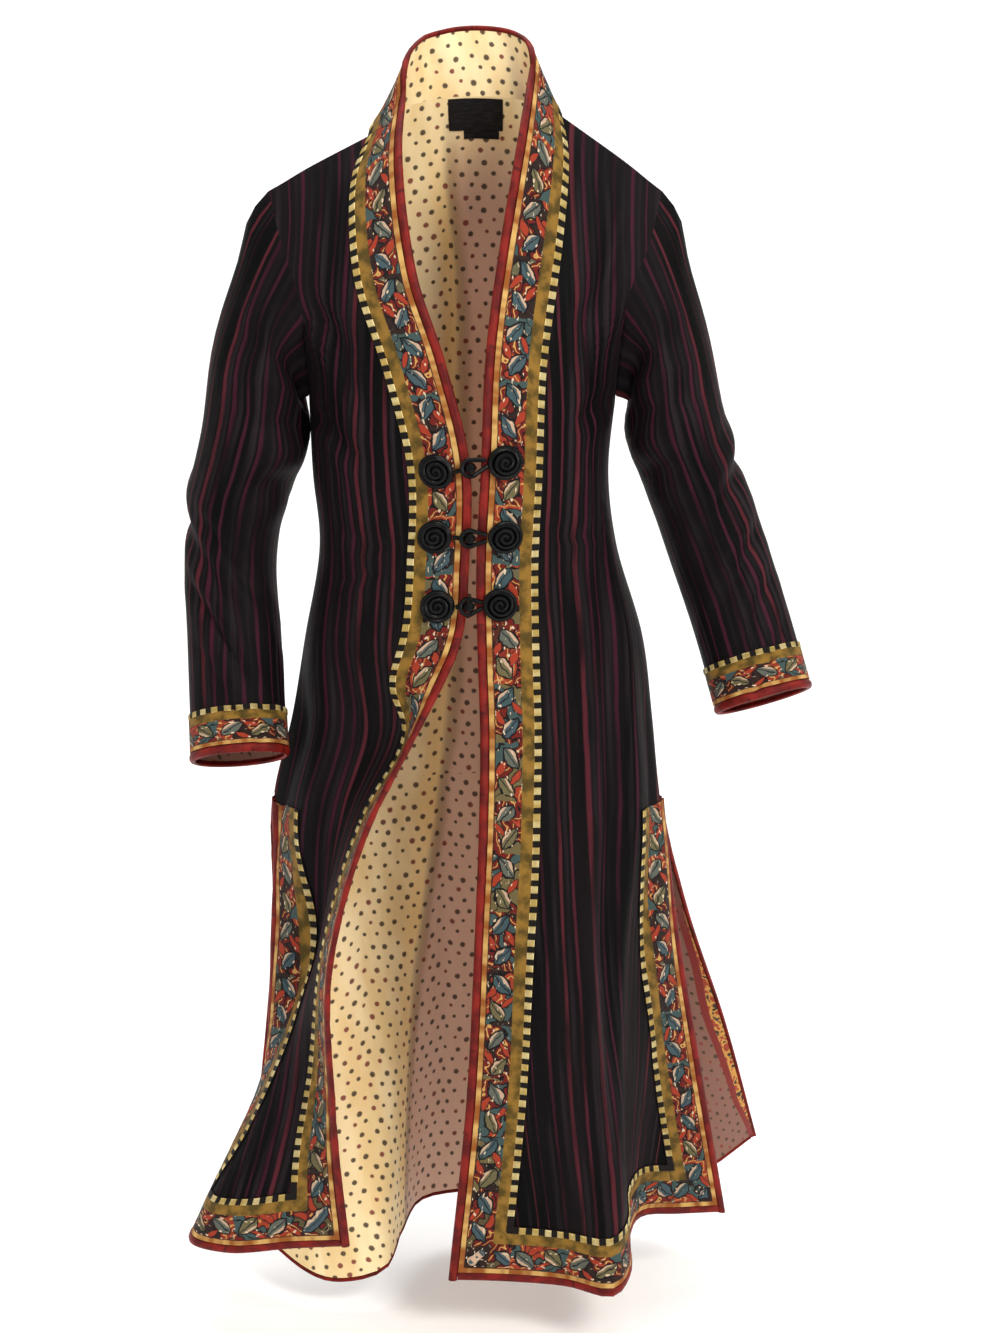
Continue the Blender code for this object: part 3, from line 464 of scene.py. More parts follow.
# %% Section curves of the panels
def front_sections(rows, flare, skirt, neck, tip, lean):
    """Section curves of one front, from its edge to its side."""
    edge = neck + TRIM_WIDTH * unit(lean)
    stand = np.linspace(edge, neck, STAND_SAMPLES + 1)
    shoulder = np.linspace(neck, tip, 2 * SAMPLES - STAND_SAMPLES + 1)
    sections = [np.concatenate((stand, shoulder[1:]))]
    for row in rows:
        start = (row.edge_x, row.edge_y, row.edge_z)
        end = (row.side_x, row.side_y, row.side_z)
        if row.turn:
            sections.append(arc(start, end, row.turn, 2 * SAMPLES + 1))
        else:
            sections.append(curve([start, *flare[row.name], end], 2 * SAMPLES + 1))
    for folds in skirt.values():
        sections.append(curve(folds, 2 * SAMPLES + 1))
    return sections


def back_half(fronts, skirt, neck, tip):
    """Section curves of half the back, from the side to the middle."""
    turns = np.linspace(0, pi / 2, CURVE_STEPS)
    neckline = np.stack([neck + (NECK_BACK - neck) * (1 - cos(t), sin(t), sin(t)) for t in turns])
    seam_count = int(SHOULDER_SHARE * SAMPLES)
    shoulder = np.linspace(tip, neck, seam_count + 1)
    neck_curve = along(neckline, np.linspace(0, lengths(neckline)[-1], SAMPLES - seam_count + 1))
    sections = [np.concatenate((shoulder, neck_curve[1:]))]
    for row, front in zip(BACK, fronts):
        middle = (CENTRE_X, row.middle_y, row.middle_z)
        side = (front.side_x, row.side_y, row.side_z)
        sections.append(arc(middle, side, row.turn, SAMPLES + 1)[::-1])
    for folds in skirt.values():
        sections.append(curve(folds, SAMPLES + 1))
    return sections


def back_sections():
    """Section curves of the back, from the left side to the right side."""
    left = back_half(FRONT_LEFT, BACK_SKIRT_LEFT, NECK_LEFT, TIP_LEFT)
    skirt = {name: folds[::-1] for name, folds in BACK_SKIRT_RIGHT.items()}
    right = back_half(FRONT_RIGHT, skirt, NECK_RIGHT, TIP_RIGHT)
    return [np.concatenate((a, b[::-1][1:])) for a, b in zip(left, right)]


print("back section points", len(back_sections()[0]))

# %% [markdown]
# Each panel is now cut into a fine grid. Columns keep their distance from the edge, as sewn trim does, and
# the last rows keep their distance from the hem. A grid of equal shares would be simpler, but then the trim
# would grow wider wherever the panel does.

# %% Fine grids of the panels
ARMHOLE_ROWS = (10, 7, 10)
BODY_ROWS = (10, 9, 11, 10, 10)
SKIRT_ROWS = (17, 19)
HEM_ROWS = 12
INNER_COLUMNS = 26
NECK_COLUMNS = 14
BAND_LINE = len(TRIM_LINES) - 1
UNDERARM_ROW = sum(ARMHOLE_ROWS)
SLIT_ROW = UNDERARM_ROW + sum(BODY_ROWS)
BOUND_FROM = SLIT_ROW + 2
FRONT_SIDE = BAND_LINE + INNER_COLUMNS + BAND_LINE
BACK_LEFT_SIDE = 1
BACK_LEFT_NECK = BAND_LINE + 1 + INNER_COLUMNS
BACK_RIGHT_NECK = BACK_LEFT_NECK + 2 * NECK_COLUMNS
BACK_RIGHT_SIDE = BACK_RIGHT_NECK + INNER_COLUMNS + BAND_LINE


def far_lines(total, open_side):
    """Distances of the trim lines at a panel's side, which close up above the slit."""
    lines = total - TRIM_LINES[::-1]
    if not open_side:
        lines[-2] = total
    return lines


def front_columns(row, open_side):
    """Distances of a front's columns from its edge."""
    total = lengths(row)[-1]
    inner = np.linspace(TRIM_WIDTH, total - TRIM_WIDTH, INNER_COLUMNS + 2)[1:-1]
    return np.concatenate((TRIM_LINES, inner, far_lines(total, open_side)))


def back_columns(row, open_side):
    """Distances of the back's columns from its left side."""
    run = lengths(row)
    neck_index = int(SHOULDER_SHARE * SAMPLES)
    total = run[-1]
    necks = (run[neck_index], run[2 * SAMPLES - neck_index])
    left = np.linspace(TRIM_WIDTH, necks[0], INNER_COLUMNS + 2)[1:]
    left_neck = np.linspace(necks[0], run[SAMPLES], NECK_COLUMNS + 1)[1:]
    right_neck = np.linspace(run[SAMPLES], necks[1], NECK_COLUMNS + 1)[1:]
    right = np.linspace(necks[1], total - TRIM_WIDTH, INNER_COLUMNS + 2)[1:-1]
    edges = total - far_lines(total, open_side)[::-1]
    return np.concatenate((edges, left, left_neck, right_neck, right, far_lines(total, open_side)))


def row_stations(knots, counts):
    """Stations of the rows, with counts of rows from each section to the next."""
    rows = [knots[0]]
    for first, last, count in zip(knots, knots[1:], counts):
        rows.extend(np.linspace(first, last, count + 1)[1:])
    return rows


def panel_grid(sections, columns):
    """Grid of a panel: rows at the sections and along the hem, columns by distance."""
    rows, stations, knots = loft(sections)
    slit = len(FRONT_LEFT)
    lines = []
    for row, station in zip(rows, stations):
        lines.append(along(row, columns(row, station > knots[slit] + SLIT_NOTCH / 2)))
    lines = np.array(lines)
    upper = row_stations(knots, ARMHOLE_ROWS + BODY_ROWS)
    lower = row_stations(knots[slit:], SKIRT_ROWS)[1:]
    shared = np.array(upper + [knots[slit] + SLIT_NOTCH] + lower)
    done = []
    for column in range(lines.shape[1]):
        line = lines[:, column]
        run = lengths(line)
        reach = np.interp(shared, stations, run)
        calf = np.linspace(reach[-1], run[-1] - TRIM_WIDTH, HEM_ROWS + 1)[1:]
        hem = run[-1] - TRIM_LINES[::-1][1:]
        done.append(along(line, np.concatenate((reach, calf, hem))))
    return np.stack(done, axis=1)


front_left_sections = front_sections(FRONT_LEFT, FRONT_LEFT_FLARE, FRONT_LEFT_SKIRT, NECK_LEFT, TIP_LEFT,
                                     STAND_LEAN_LEFT)
front_right_sections = front_sections(FRONT_RIGHT, {}, FRONT_RIGHT_SKIRT, NECK_RIGHT, TIP_RIGHT,
                                      STAND_LEAN_RIGHT)
fronts = {
    "left": panel_grid(front_left_sections, front_columns),
    "right": panel_grid(front_right_sections, front_columns),
}
back = panel_grid(back_sections(), back_columns)
print("front grid", fronts["left"].shape[:2], "back grid", back.shape[:2])

# %% [markdown]
# Sewn panels share their seam line. The side seams are set to the mean of the two panels, from the
# underarm down to the slits. The collar joins the back neckline to a top edge that runs round behind the
# neck, from the end of one front's stand to the other.

# %% Side seams and the collar
back_side = {"left": BACK_LEFT_SIDE, "right": BACK_RIGHT_SIDE}
outer_side = {"left": 0, "right": back.shape[1] - 1}
body = slice(UNDERARM_ROW, SLIT_ROW + 1)
for name, front in fronts.items():
    seam = (front[body, FRONT_SIDE] + back[body, back_side[name]]) / 2
    for column in (FRONT_SIDE, FRONT_SIDE + 1):
        front[body, column] = seam
    for column in (back_side[name], outer_side[name]):
        back[body, column] = seam


def collar_top(left, right, count):
    """Top edge of the collar, round the back of the neck from one end of the stand to the other."""
    turns = np.linspace(-pi / 2, pi / 2, CURVE_STEPS * count)
    points = []
    for turn in turns:
        end = left if turn < 0 else right
        share_out = abs(sin(turn))
        share_up = max(cos(turn), 0.0)
        across = COLLAR_BACK[0] + share_out * (end[0] - COLLAR_BACK[0])
        deep = end[1] + share_up * (COLLAR_BACK[1] - end[1])
        high = end[2] + share_up**COLLAR_DROP * (COLLAR_BACK[2] - end[2])
        points.append((across, deep, high))
    points = np.array(points)
    return along(points, np.linspace(0, lengths(points)[-1], count))


collar_base = back[0, BACK_LEFT_NECK:BACK_RIGHT_NECK + 1]
collar_edge = collar_top(fronts["left"][0, 0], fronts["right"][0, 0], len(collar_base))
collar = collar_edge + (TRIM_LINES / TRIM_WIDTH)[:, None, None] * (collar_base - collar_edge)
print("collar grid", collar.shape[:2])

# %% [markdown]
# A set-in sleeve starts at the armhole, which lies in the edges of the front and the back, and then runs
# through its rings. The cap between the two is pushed out a little, as a sleeve head is eased in.

# %% Sleeve grids
CAP_ROWS = (7, 7)
SLEEVE_ROWS = (9, 9, 11, 13)
ABOVE_CUFF = 0.97


def ring_points(ring, angles, outside):
    """Points of one sleeve ring; angle 0 is the outside of the arm, 90 degrees the front."""
    lean = radians(ring.lean)
    pitch = radians(ring.pitch)
    out = np.array((outside * cos(lean), 0.0, outside * sin(lean)))
    front = np.array((0.0, -cos(pitch), sin(pitch)))
    middle = np.array((ring.x, ring.y, ring.z))
    width = ring.half_width * np.cos(angles)
    depth = ring.half_depth * np.sin(angles)
    return middle + width[:, None] * out + depth[:, None] * front


def sleeve_grid(armhole, rings, outside, cap_lift):
    """Grid of a sleeve: rows down the arm, columns round it from the shoulder tip."""
    angles = np.linspace(0, 2 * pi, 2 * UNDERARM_ROW + 1)[:-1]
    lower = [ring_points(ring, angles, outside) for ring in rings]
    outer_part = (1 + np.cos(angles)) / 2
    lift = CAP_LIFT_UNDERARM + (cap_lift - CAP_LIFT_UNDERARM) * outer_part
    reach = CAP_SHARE_UNDERARM + (CAP_SHARE_OUTSIDE - CAP_SHARE_UNDERARM) * outer_part
    cap = armhole + reach[:, None] * (lower[0] - armhole)
    cap[:, 0] += outside * lift
    rows, stations, knots = loft([armhole, cap] + lower)
    upper = row_stations(knots, CAP_ROWS + SLEEVE_ROWS)[:-SLEEVE_ROWS[-1] // 2]
    columns = []
    for column in range(len(angles)):
        line = rows[:, column]
        run = lengths(line)
        cuff_start = run[-1] - CUFF_TRIM
        reach_here = np.interp(upper, stations, run)
        reach_here = reach_here * min(1.0, ABOVE_CUFF * cuff_start / reach_here[-1])
        columns.append(along(line, np.concatenate((reach_here, run[-1] - CUFF_LINES[::-1]))))
    return np.stack(columns, axis=1)


sleeves = {}
arms = (("left", SLEEVE_LEFT, -1, CAP_LIFT_LEFT), ("right", SLEEVE_RIGHT, 1, CAP_LIFT_RIGHT))
for name, rings, outside, cap_lift in arms:
    front_edge = fronts[name][:UNDERARM_ROW + 1, FRONT_SIDE]
    back_edge = back[1:UNDERARM_ROW, back_side[name]][::-1]
    armhole = np.concatenate((front_edge, back_edge))
    sleeves[name] = sleeve_grid(armhole, rings, outside, cap_lift)
    print("sleeve", name, sleeves[name].shape[:2], "armhole", round(lengths(armhole)[-1], 3), "m")

# %% [markdown]
# A worn shoulder is round where the sleeve is set in, so every grid is eased inward near the two tips.

# %% Round the shoulders
SHOULDER_EASE = 0.003
SHOULDER_REACH = 0.034
for name, tip, outside in (("left", TIP_LEFT, -1), ("right", TIP_RIGHT, 1)):
    inward = unit(np.array((-outside, 0.0, -1.0)))
    for grid in (fronts[name], back, sleeves[name]):
        near = np.exp(-(np.linalg.norm(grid - tip, axis=-1) / SHOULDER_REACH) ** 2)
        grid += SHOULDER_EASE * near[..., None] * inward
print("shoulders eased by", SHOULDER_EASE, "m")

# %% [markdown]
# Real cloth is never quite smooth. It drags from the armholes, breaks at the elbows and the waist, and
# hangs in soft flutes below the hips. A simulation would find its own folds, so the main creases are
# listed instead: each row of the table is a soft trough on the flat map, from one point to another, with a
# low ridge beside it. A negative depth makes a swell instead.

# %% Creases
Crease = namedtuple("Crease", "across down across_end down_end width depth")
CREASES = {
    "front_left": [
        Crease(0.150, 0.040, 0.092, 0.235, 0.012, 0.0095),
        Crease(0.132, 0.120, 0.098, 0.300, 0.010, 0.0065),
        Crease(0.195, 0.262, 0.112, 0.335, 0.010, 0.0065),
        Crease(0.150, 0.400, 0.072, 0.440, 0.008, 0.0035),
        Crease(0.160, 0.455, 0.076, 0.452, 0.008, 0.0030),
        Crease(0.112, 0.560, 0.140, 1.120, 0.018, 0.0075),
        Crease(0.200, 0.500, 0.215, 0.820, 0.016, 0.0060),
    ],
    "front_right": [
        Crease(0.140, 0.045, 0.088, 0.220, 0.012, 0.0080),
        Crease(0.128, 0.110, 0.094, 0.270, 0.010, 0.0050),
        Crease(0.170, 0.255, 0.096, 0.315, 0.010, 0.0055),
        Crease(0.145, 0.410, 0.075, 0.432, 0.008, 0.0035),
        Crease(0.095, 0.330, 0.104, 1.100, 0.013, 0.0070),
        Crease(0.138, 0.440, 0.158, 1.100, 0.015, 0.0100),
        Crease(0.200, 0.550, 0.236, 0.950, 0.014, 0.0060),
    ],
    "back": [
        Crease(-0.034, 0.004, -0.022, 0.360, 0.009, -0.0085),
        Crease(-0.075, 0.100, -0.145, 0.250, 0.012, 0.0060),
        Crease(0.060, 0.110, 0.134, 0.236, 0.012, 0.0065),
        Crease(-0.120, 0.410, -0.030, 0.432, 0.010, 0.0045),
        Crease(0.112, 0.400, 0.022, 0.436, 0.010, 0.0040),
        Crease(-0.090, 0.462, 0.050, 0.468, 0.009, 0.0035),
        Crease(-0.026, 0.560, -0.030, 1.200, 0.018, -0.0080),
        Crease(0.050, 0.520, 0.066, 1.100, 0.018, 0.0075),
        Crease(0.125, 0.600, 0.150, 1.050, 0.016, 0.0060),
    ],
    "collar": [
        Crease(-0.040, 0.000, -0.033, 0.070, 0.009, -0.0065),
        Crease(0.046, 0.000, 0.052, 0.060, 0.010, -0.0025),
    ],
    "sleeve_left": [
        Crease(-0.040, 0.026, 0.040, 0.026, 0.036, -0.0080),
        Crease(0.140, 0.015, 0.050, 0.120, 0.011, 0.0085),
        Crease(0.150, 0.060, 0.062, 0.185, 0.011, 0.0090),
        Crease(0.155, 0.110, 0.080, 0.240, 0.009, 0.0065),
        Crease(0.150, 0.036, 0.196, 0.038, 0.028, -0.0080),
        Crease(0.030, 0.322, 0.120, 0.290, 0.011, 0.0055),
        Crease(-0.060, 0.352, 0.100, 0.345, 0.016, 0.0060),
        Crease(0.026, 0.392, 0.112, 0.412, 0.011, 0.0060),
        Crease(0.040, 0.450, 0.115, 0.470, 0.010, 0.0035),
        Crease(0.220, 0.310, 0.300, 0.345, 0.009, 0.0045),
    ],
    "sleeve_right": [
        Crease(-0.040, 0.024, 0.040, 0.024, 0.036, -0.0080),
        Crease(0.140, 0.015, 0.060, 0.112, 0.011, 0.0080),
        Crease(0.148, 0.066, 0.054, 0.170, 0.011, 0.0085),
        Crease(0.150, 0.120, 0.076, 0.220, 0.009, 0.0060),
        Crease(-0.060, 0.290, 0.100, 0.272, 0.014, 0.0060),
        Crease(0.028, 0.345, 0.108, 0.330, 0.011, 0.0060),
        Crease(0.034, 0.392, 0.104, 0.385, 0.010, 0.0040),
        Crease(0.220, 0.290, 0.300, 0.330, 0.009, 0.0045),
        Crease(0.040, 0.440, 0.120, 0.450, 0.009, 0.0035),
    ],
}
TAPER_START = 0.02
RIDGE_PLACE = 1.8
RIDGE_SHARE = 0.5
RIDGE_REACH = 5


def crease_depth(flat, creases):
    """How far the creases press each point of a flat map inward."""
    total = np.zeros(flat.shape[:2])
    for crease in creases:
        start = np.array((crease.across, crease.down))
        run = np.array((crease.across_end, crease.down_end)) - start
        share = np.clip(((flat - start) @ run) / (run @ run), 0, 1)
        beside = unit(np.array((run[1], -run[0])))
        away = flat - start - share[..., None] * run
        distance = np.linalg.norm(away, axis=-1) / crease.width
        signed = (away @ beside) / crease.width
        taper = np.sqrt(np.sin(pi * np.clip(share, TAPER_START, 1 - TAPER_START)))
        trough = np.exp(-distance ** 2)
        ridge = np.exp(-(signed - RIDGE_PLACE) ** 2) * (distance < RIDGE_REACH)
        total += crease.depth * taper * (trough - RIDGE_SHARE * ridge)
    return total


print("creases", sum(len(table) for table in CREASES.values()))

# %% [markdown]
# A flat map tells where each point of a grid would lie on the table before sewing: how far across and how
# far down. Cloth is woven, so stripes and dots follow its straight grain. On the body the grain hangs
# upright, and each row of the map is slid until it follows the row above it.

# %% Flat maps
TINY = 1e-9


def down_lengths(grid):
    """Distance down each column of a grid, at every point."""
    return np.stack([lengths(grid[:, column]) for column in range(grid.shape[1])], axis=1)


def flat_map(grid, zero_column=0):
    """Distance across from one column and distance down from the first row, at every point."""
    across = np.array([lengths(row) for row in grid])
    across = across - across[:, zero_column:zero_column + 1]
    return np.stack((across, down_lengths(grid)), axis=-1)


def grain_map(grid, zero_column=0):
    """Flat map with the straight grain upright: level distance across, rows slid to follow each other."""
    flat = flat_map(grid, zero_column)
    level = grid[..., :2]
    across = np.array([lengths(row) for row in level])
    flat[..., 0] = across - across[:, zero_column:zero_column + 1]
    for row in range(1, len(grid)):
        heading = np.gradient(level[row], axis=0) + np.gradient(level[row - 1], axis=0)
        heading = heading / np.maximum(np.linalg.norm(heading, axis=1, keepdims=True), TINY)
        slide = ((level[row] - level[row - 1]) * heading).sum(axis=1)
        spread = np.gradient(across[row]) + TINY
        flat[row, :, 0] += np.average(flat[row - 1, :, 0] + slide - flat[row, :, 0], weights=spread)
    return flat


def sleeve_map(grid):
    """Flat map of a sleeve, as wide all the way down as its middle ring."""
    ring = grid[len(grid) // 2]
    around = lengths(np.concatenate((ring, ring[:1])))[-1]
    across = np.arange(grid.shape[1]) / grid.shape[1] * around
    down = down_lengths(grid)
    return np.stack((np.broadcast_to(across, down.shape), down), axis=-1), around


def normals(points, side, closed=False):
    """Outward direction at each point of a grid of rows and columns."""
    if closed:
        wrapped = np.concatenate((points[:, -1:], points, points[:, :1]), axis=1)
        across = wrapped[:, 2:] - wrapped[:, :-2]
    else:
        across = np.gradient(points, axis=1)
    down = np.gradient(points, axis=0)
    return side * unit(np.cross(across, down))


def back_normals():
    """Outward directions of the back; its outermost columns take those of the columns beside them."""
    out = normals(back[:, 1:-1], 1)
    return np.concatenate((out[:, :1], out, out[:, -1:]), axis=1)


back_middle = BACK_LEFT_NECK + NECK_COLUMNS
print("back is", round(np.ptp(flat_map(back, back_middle)[-1, :, 0]), 3), "m wide at the hem")

# %% [markdown]
# The creases fade out towards the seams, where stitching holds the cloth flat, and then they are pressed
# into the grids. Trim, lining and bindings are laid on these same grids, so they follow every crease.

# %% Press the creases in
SEAM_FADE = 0.030
panel_side = {"left": 1, "right": -1}


def press(grid, flat, table, fade, outward):
    """Move a grid inward by its creases, which fade towards the seams."""
    grid -= (crease_depth(flat, CREASES[table]) * fade)[..., None] * outward


for name, front in fronts.items():
    flat = flat_map(front)
    fade = np.clip(flat[..., 1] / SEAM_FADE, 0, 1)
    to_side = flat[:, FRONT_SIDE:FRONT_SIDE + 1, 0] - flat[..., 0]
    side_fade = np.clip(to_side / SEAM_FADE, 0, 1)
    fade[:BOUND_FROM] *= side_fade[:BOUND_FROM]
    out = normals(front[:, :-1], panel_side[name])
    out = np.concatenate((out, out[:, -1:]), axis=1)
    press(front, flat, "front_" + name, fade, out)

back_flat = flat_map(back, back_middle)
fade = np.clip(back_flat[..., 1] / SEAM_FADE, 0, 1)
to_side = np.minimum(back_flat[..., 0] - back_flat[:, :1, 0], back_flat[:, -1:, 0] - back_flat[..., 0])
fade[:BOUND_FROM] *= np.clip(to_side / SEAM_FADE, 0, 1)[:BOUND_FROM]
press(back, back_flat, "back", fade, back_normals())

collar_flat = flat_map(collar.transpose(1, 0, 2)).transpose(1, 0, 2)[..., ::-1]
collar_flat[..., 0] -= collar_flat[:, NECK_COLUMNS:NECK_COLUMNS + 1, 0]
fade = np.clip((TRIM_WIDTH - TRIM_LINES) / SEAM_FADE, 0, 1)[:, None]
press(collar, collar_flat, "collar", fade, normals(collar, 1))

sleeve_side = {"left": -1, "right": 1}
for name, sleeve in sleeves.items():
    flat, around = sleeve_map(sleeve)
    fade = np.sin(pi / 2 * np.clip(flat[..., 1] / SEAM_FADE, 0, 1))
    out = normals(sleeve, sleeve_side[name], True)
    before = flat - (around, 0.0)
    depth = crease_depth(before, CREASES["sleeve_" + name]) + crease_depth(flat, CREASES["sleeve_" + name])
    sleeve -= (depth * fade)[..., None] * out
    print("sleeve", name, "around", round(around, 3), "m")

# %% [markdown]
# Thickness is given along outward directions. Where two pieces meet at a seam they share one mean
# direction, so that their faces meet too.

# %% Outward directions
def share(*places):
    """Give grid places that lie on one seam the mean of their outward directions."""
    mean = unit(sum(directions[index] for directions, index in places))
    for directions, index in places:
        directions[index] = mean


front_out = {name: normals(front[:, :-1], panel_side[name]) for name, front in fronts.items()}
back_out = back_normals()
collar_out = normals(collar, 1)
sleeve_out = {name: normals(sleeve, sleeve_side[name], True) for name, sleeve in sleeves.items()}
collar_end = {"left": 0, "right": -1}
back_neck = {"left": BACK_LEFT_NECK, "right": BACK_RIGHT_NECK}
for name, out in front_out.items():
    inward = panel_side[name]
    for row in range(UNDERARM_ROW + 1, SLIT_ROW + 1):
        share((out, (row, FRONT_SIDE)), (back_out, (row, back_side[name])))
    for step in range(1, FRONT_SIDE - BAND_LINE):
        share((out, (0, FRONT_SIDE - step)), (back_out, (0, back_side[name] + inward * step)))
    for line in range(BAND_LINE):
        share((out, (0, line)), (collar_out, (line, collar_end[name])))
    neck_end = (collar_out, (BAND_LINE, collar_end[name]))
    share((out, (0, BAND_LINE)), (back_out, (0, back_neck[name])), neck_end)
    arm = sleeve_out[name]
    for row in range(UNDERARM_ROW + 1):
        meeting = [(arm, (0, row)), (out, (row, FRONT_SIDE))]
        if row in (0, UNDERARM_ROW):
            meeting.append((back_out, (row, back_side[name])))
        else:
            share((arm, (0, 2 * UNDERARM_ROW - row)), (back_out, (row, back_side[name])))
        share(*meeting)
for step in range(1, 2 * NECK_COLUMNS):
    share((back_out, (0, BACK_LEFT_NECK + step)), (collar_out, (BAND_LINE, step)))
print("seams share their directions")

# %% [markdown]
# Patterns are written as formulas. A shader is a net of small nodes, which is hard to read when drawn by
# hand, so a little class turns ordinary arithmetic into Math nodes: adding two fields adds a node.

# %% Formulas for shaders
class Field:
    """A value over the surface that builds Math nodes when it is used in arithmetic."""

    def __init__(self, tree, socket):
        self.tree = tree
        self.socket = socket

    def math(self, operation, *others):
        node = self.tree.nodes.new("ShaderNodeMath")
        node.operation = operation
        for slot, value in zip(node.inputs, (self, *others)):
            if isinstance(value, Field):
                self.tree.links.new(value.socket, slot)
            else:
                slot.default_value = value
        return Field(self.tree, node.outputs[0])

    def __add__(self, other):
        return self.math("ADD", other)

    def __sub__(self, other):
        return self.math("SUBTRACT", other)

    def __mul__(self, other):
        return self.math("MULTIPLY", other)

    def __truediv__(self, other):
        return self.math("DIVIDE", other)

    def size(self):
        return self.math("ABSOLUTE")

    def whole(self):
        return self.math("FLOOR")

    def part(self):
        return self.math("FRACT")

    def wave(self):
        return (self * (2 * pi)).math("SINE")

    def greater(self, other):
        return self.math("MAXIMUM", other)

    def step(self, low, high):
        """0 below low, 1 above high, smooth between; the other way round if low is the larger."""
        node = self.tree.nodes.new("ShaderNodeMapRange")
        node.interpolation_type = "SMOOTHSTEP"
        self.tree.links.new(self.socket, node.inputs["Value"])
        node.inputs["From Min"].default_value = min(low, high)
        node.inputs["From Max"].default_value = max(low, high)
        node.inputs["To Min"].default_value = 0.0 if low < high else 1.0
        node.inputs["To Max"].default_value = 1.0 if low < high else 0.0
        return Field(self.tree, node.outputs[0])


print("fields build shader nodes from arithmetic")

# %% [markdown]
# A finish is one material: a shader with its roughness and gloss, the flat map as its coordinates, and
# helpers that add noise, lay one colour over another and raise a fine relief. Inks are written as printed
# colours, from 0 to 255, because those are easy to compare with the picture.

# %% Finishes
class Finish:
    """A material under construction, with its flat map and helpers for noise and paint."""

    def __init__(self, name, roughness, gloss=0.5, sheen=0.0):
        self.made = bpy.data.materials.new(name)
        self.made.use_nodes = True
        self.tree = self.made.node_tree
        self.shader = self.tree.nodes["Principled BSDF"]
        self.shader.inputs["Roughness"].default_value = roughness
        self.shader.inputs["Specular IOR Level"].default_value = gloss
        self.shader.inputs["Sheen Weight"].default_value = sheen
        flat = self.tree.nodes.new("ShaderNodeUVMap")
        flat.uv_map = "flat"
        parts = self.tree.nodes.new("ShaderNodeSeparateXYZ")
        self.tree.links.new(flat.outputs[0], parts.inputs[0])
        self.across = Field(self.tree, parts.outputs[0])
        self.down = Field(self.tree, parts.outputs[1])

    def place(self, x, y):
        """A position from two fields, for the texture nodes."""
        node = self.tree.nodes.new("ShaderNodeCombineXYZ")
        for slot, value in zip(node.inputs, (x, y)):
            self.tree.links.new(value.socket, slot)
        return node.outputs[0]

    def noise(self, x, y, detail=2.0):
        """Cloudy value from 0 to 1."""
        node = self.tree.nodes.new("ShaderNodeTexNoise")
        node.inputs["Scale"].default_value = 1.0
        node.inputs["Detail"].default_value = detail
        self.tree.links.new(self.place(x, y), node.inputs["Vector"])
        return Field(self.tree, node.outputs["Fac"])

    def chance(self, x, y):
        """One random value from 0 to 1 for each pair of whole numbers."""
        node = self.tree.nodes.new("ShaderNodeTexWhiteNoise")
        node.noise_dimensions = "2D"
        self.tree.links.new(self.place(x, y), node.inputs["Vector"])
        return Field(self.tree, node.outputs["Value"])

    def paint(self, under, colour, cover):
        """One colour laid over another where cover is 1."""
        node = self.tree.nodes.new("ShaderNodeMix")
        node.data_type = "RGBA"
        self.tree.links.new(cover.socket, node.inputs["Factor"])
        for slot, value in ((node.inputs[6], under), (node.inputs[7], colour)):
            if isinstance(value, tuple):
                slot.default_value = (*value, 1.0)
            else:
                self.tree.links.new(value, slot)
        return node.outputs[2]

    def colour(self, socket):
        self.tree.links.new(socket, self.shader.inputs["Base Color"])

    def relief(self, height, distance):
        """Fine surface relief, in metres."""
        node = self.tree.nodes.new("ShaderNodeBump")
        node.inputs["Strength"].default_value = 1.0
        node.inputs["Distance"].default_value = distance
        self.tree.links.new(height.socket, node.inputs["Height"])
        self.tree.links.new(node.outputs[0], self.shader.inputs["Normal"])


def ink(red, green, blue):
    """Linear colour of a printed colour given from 0 to 255."""
    return tuple(((value / 255 + 0.055) / 1.055) ** 2.4 for value in (red, green, blue))


print("white ink is", ink(255, 255, 255))

# %% [markdown]
# The outer cloth is a dark, slightly brushed stripe: a charcoal ground, narrow plum lines and fainter grey
# ones, none of them quite regular. Long dark streaks down the ground are painted shade of soft folds, laid
# at random. An image could carry that, but a formula on the flat map keeps its lines sharp at any size, and
# lets each stripe wander and fade by itself.

# %% Striped outer cloth
STRIPE_PITCH = 0.0172
STRIPE_STRAY = 0.50
STRIPE_THINNEST = 0.30
GREY_SHIFT = 0.46
GREY_WIDEST = 0.24
PLUM_WIDEST = 0.15
NAP = 0.00035


def stripe_lines(finish, place, widest):
    """Lines of uneven width and place, one in each whole number of place."""
    cell = place.whole()
    aside = finish.chance(cell, cell) - 0.5
    broad = finish.chance(cell + 7.3, cell) * (widest * (1 - STRIPE_THINNEST)) + widest * STRIPE_THINNEST
    return ((place.part() - 0.5 - aside * STRIPE_STRAY).size() / broad).step(1.4, 0.5)


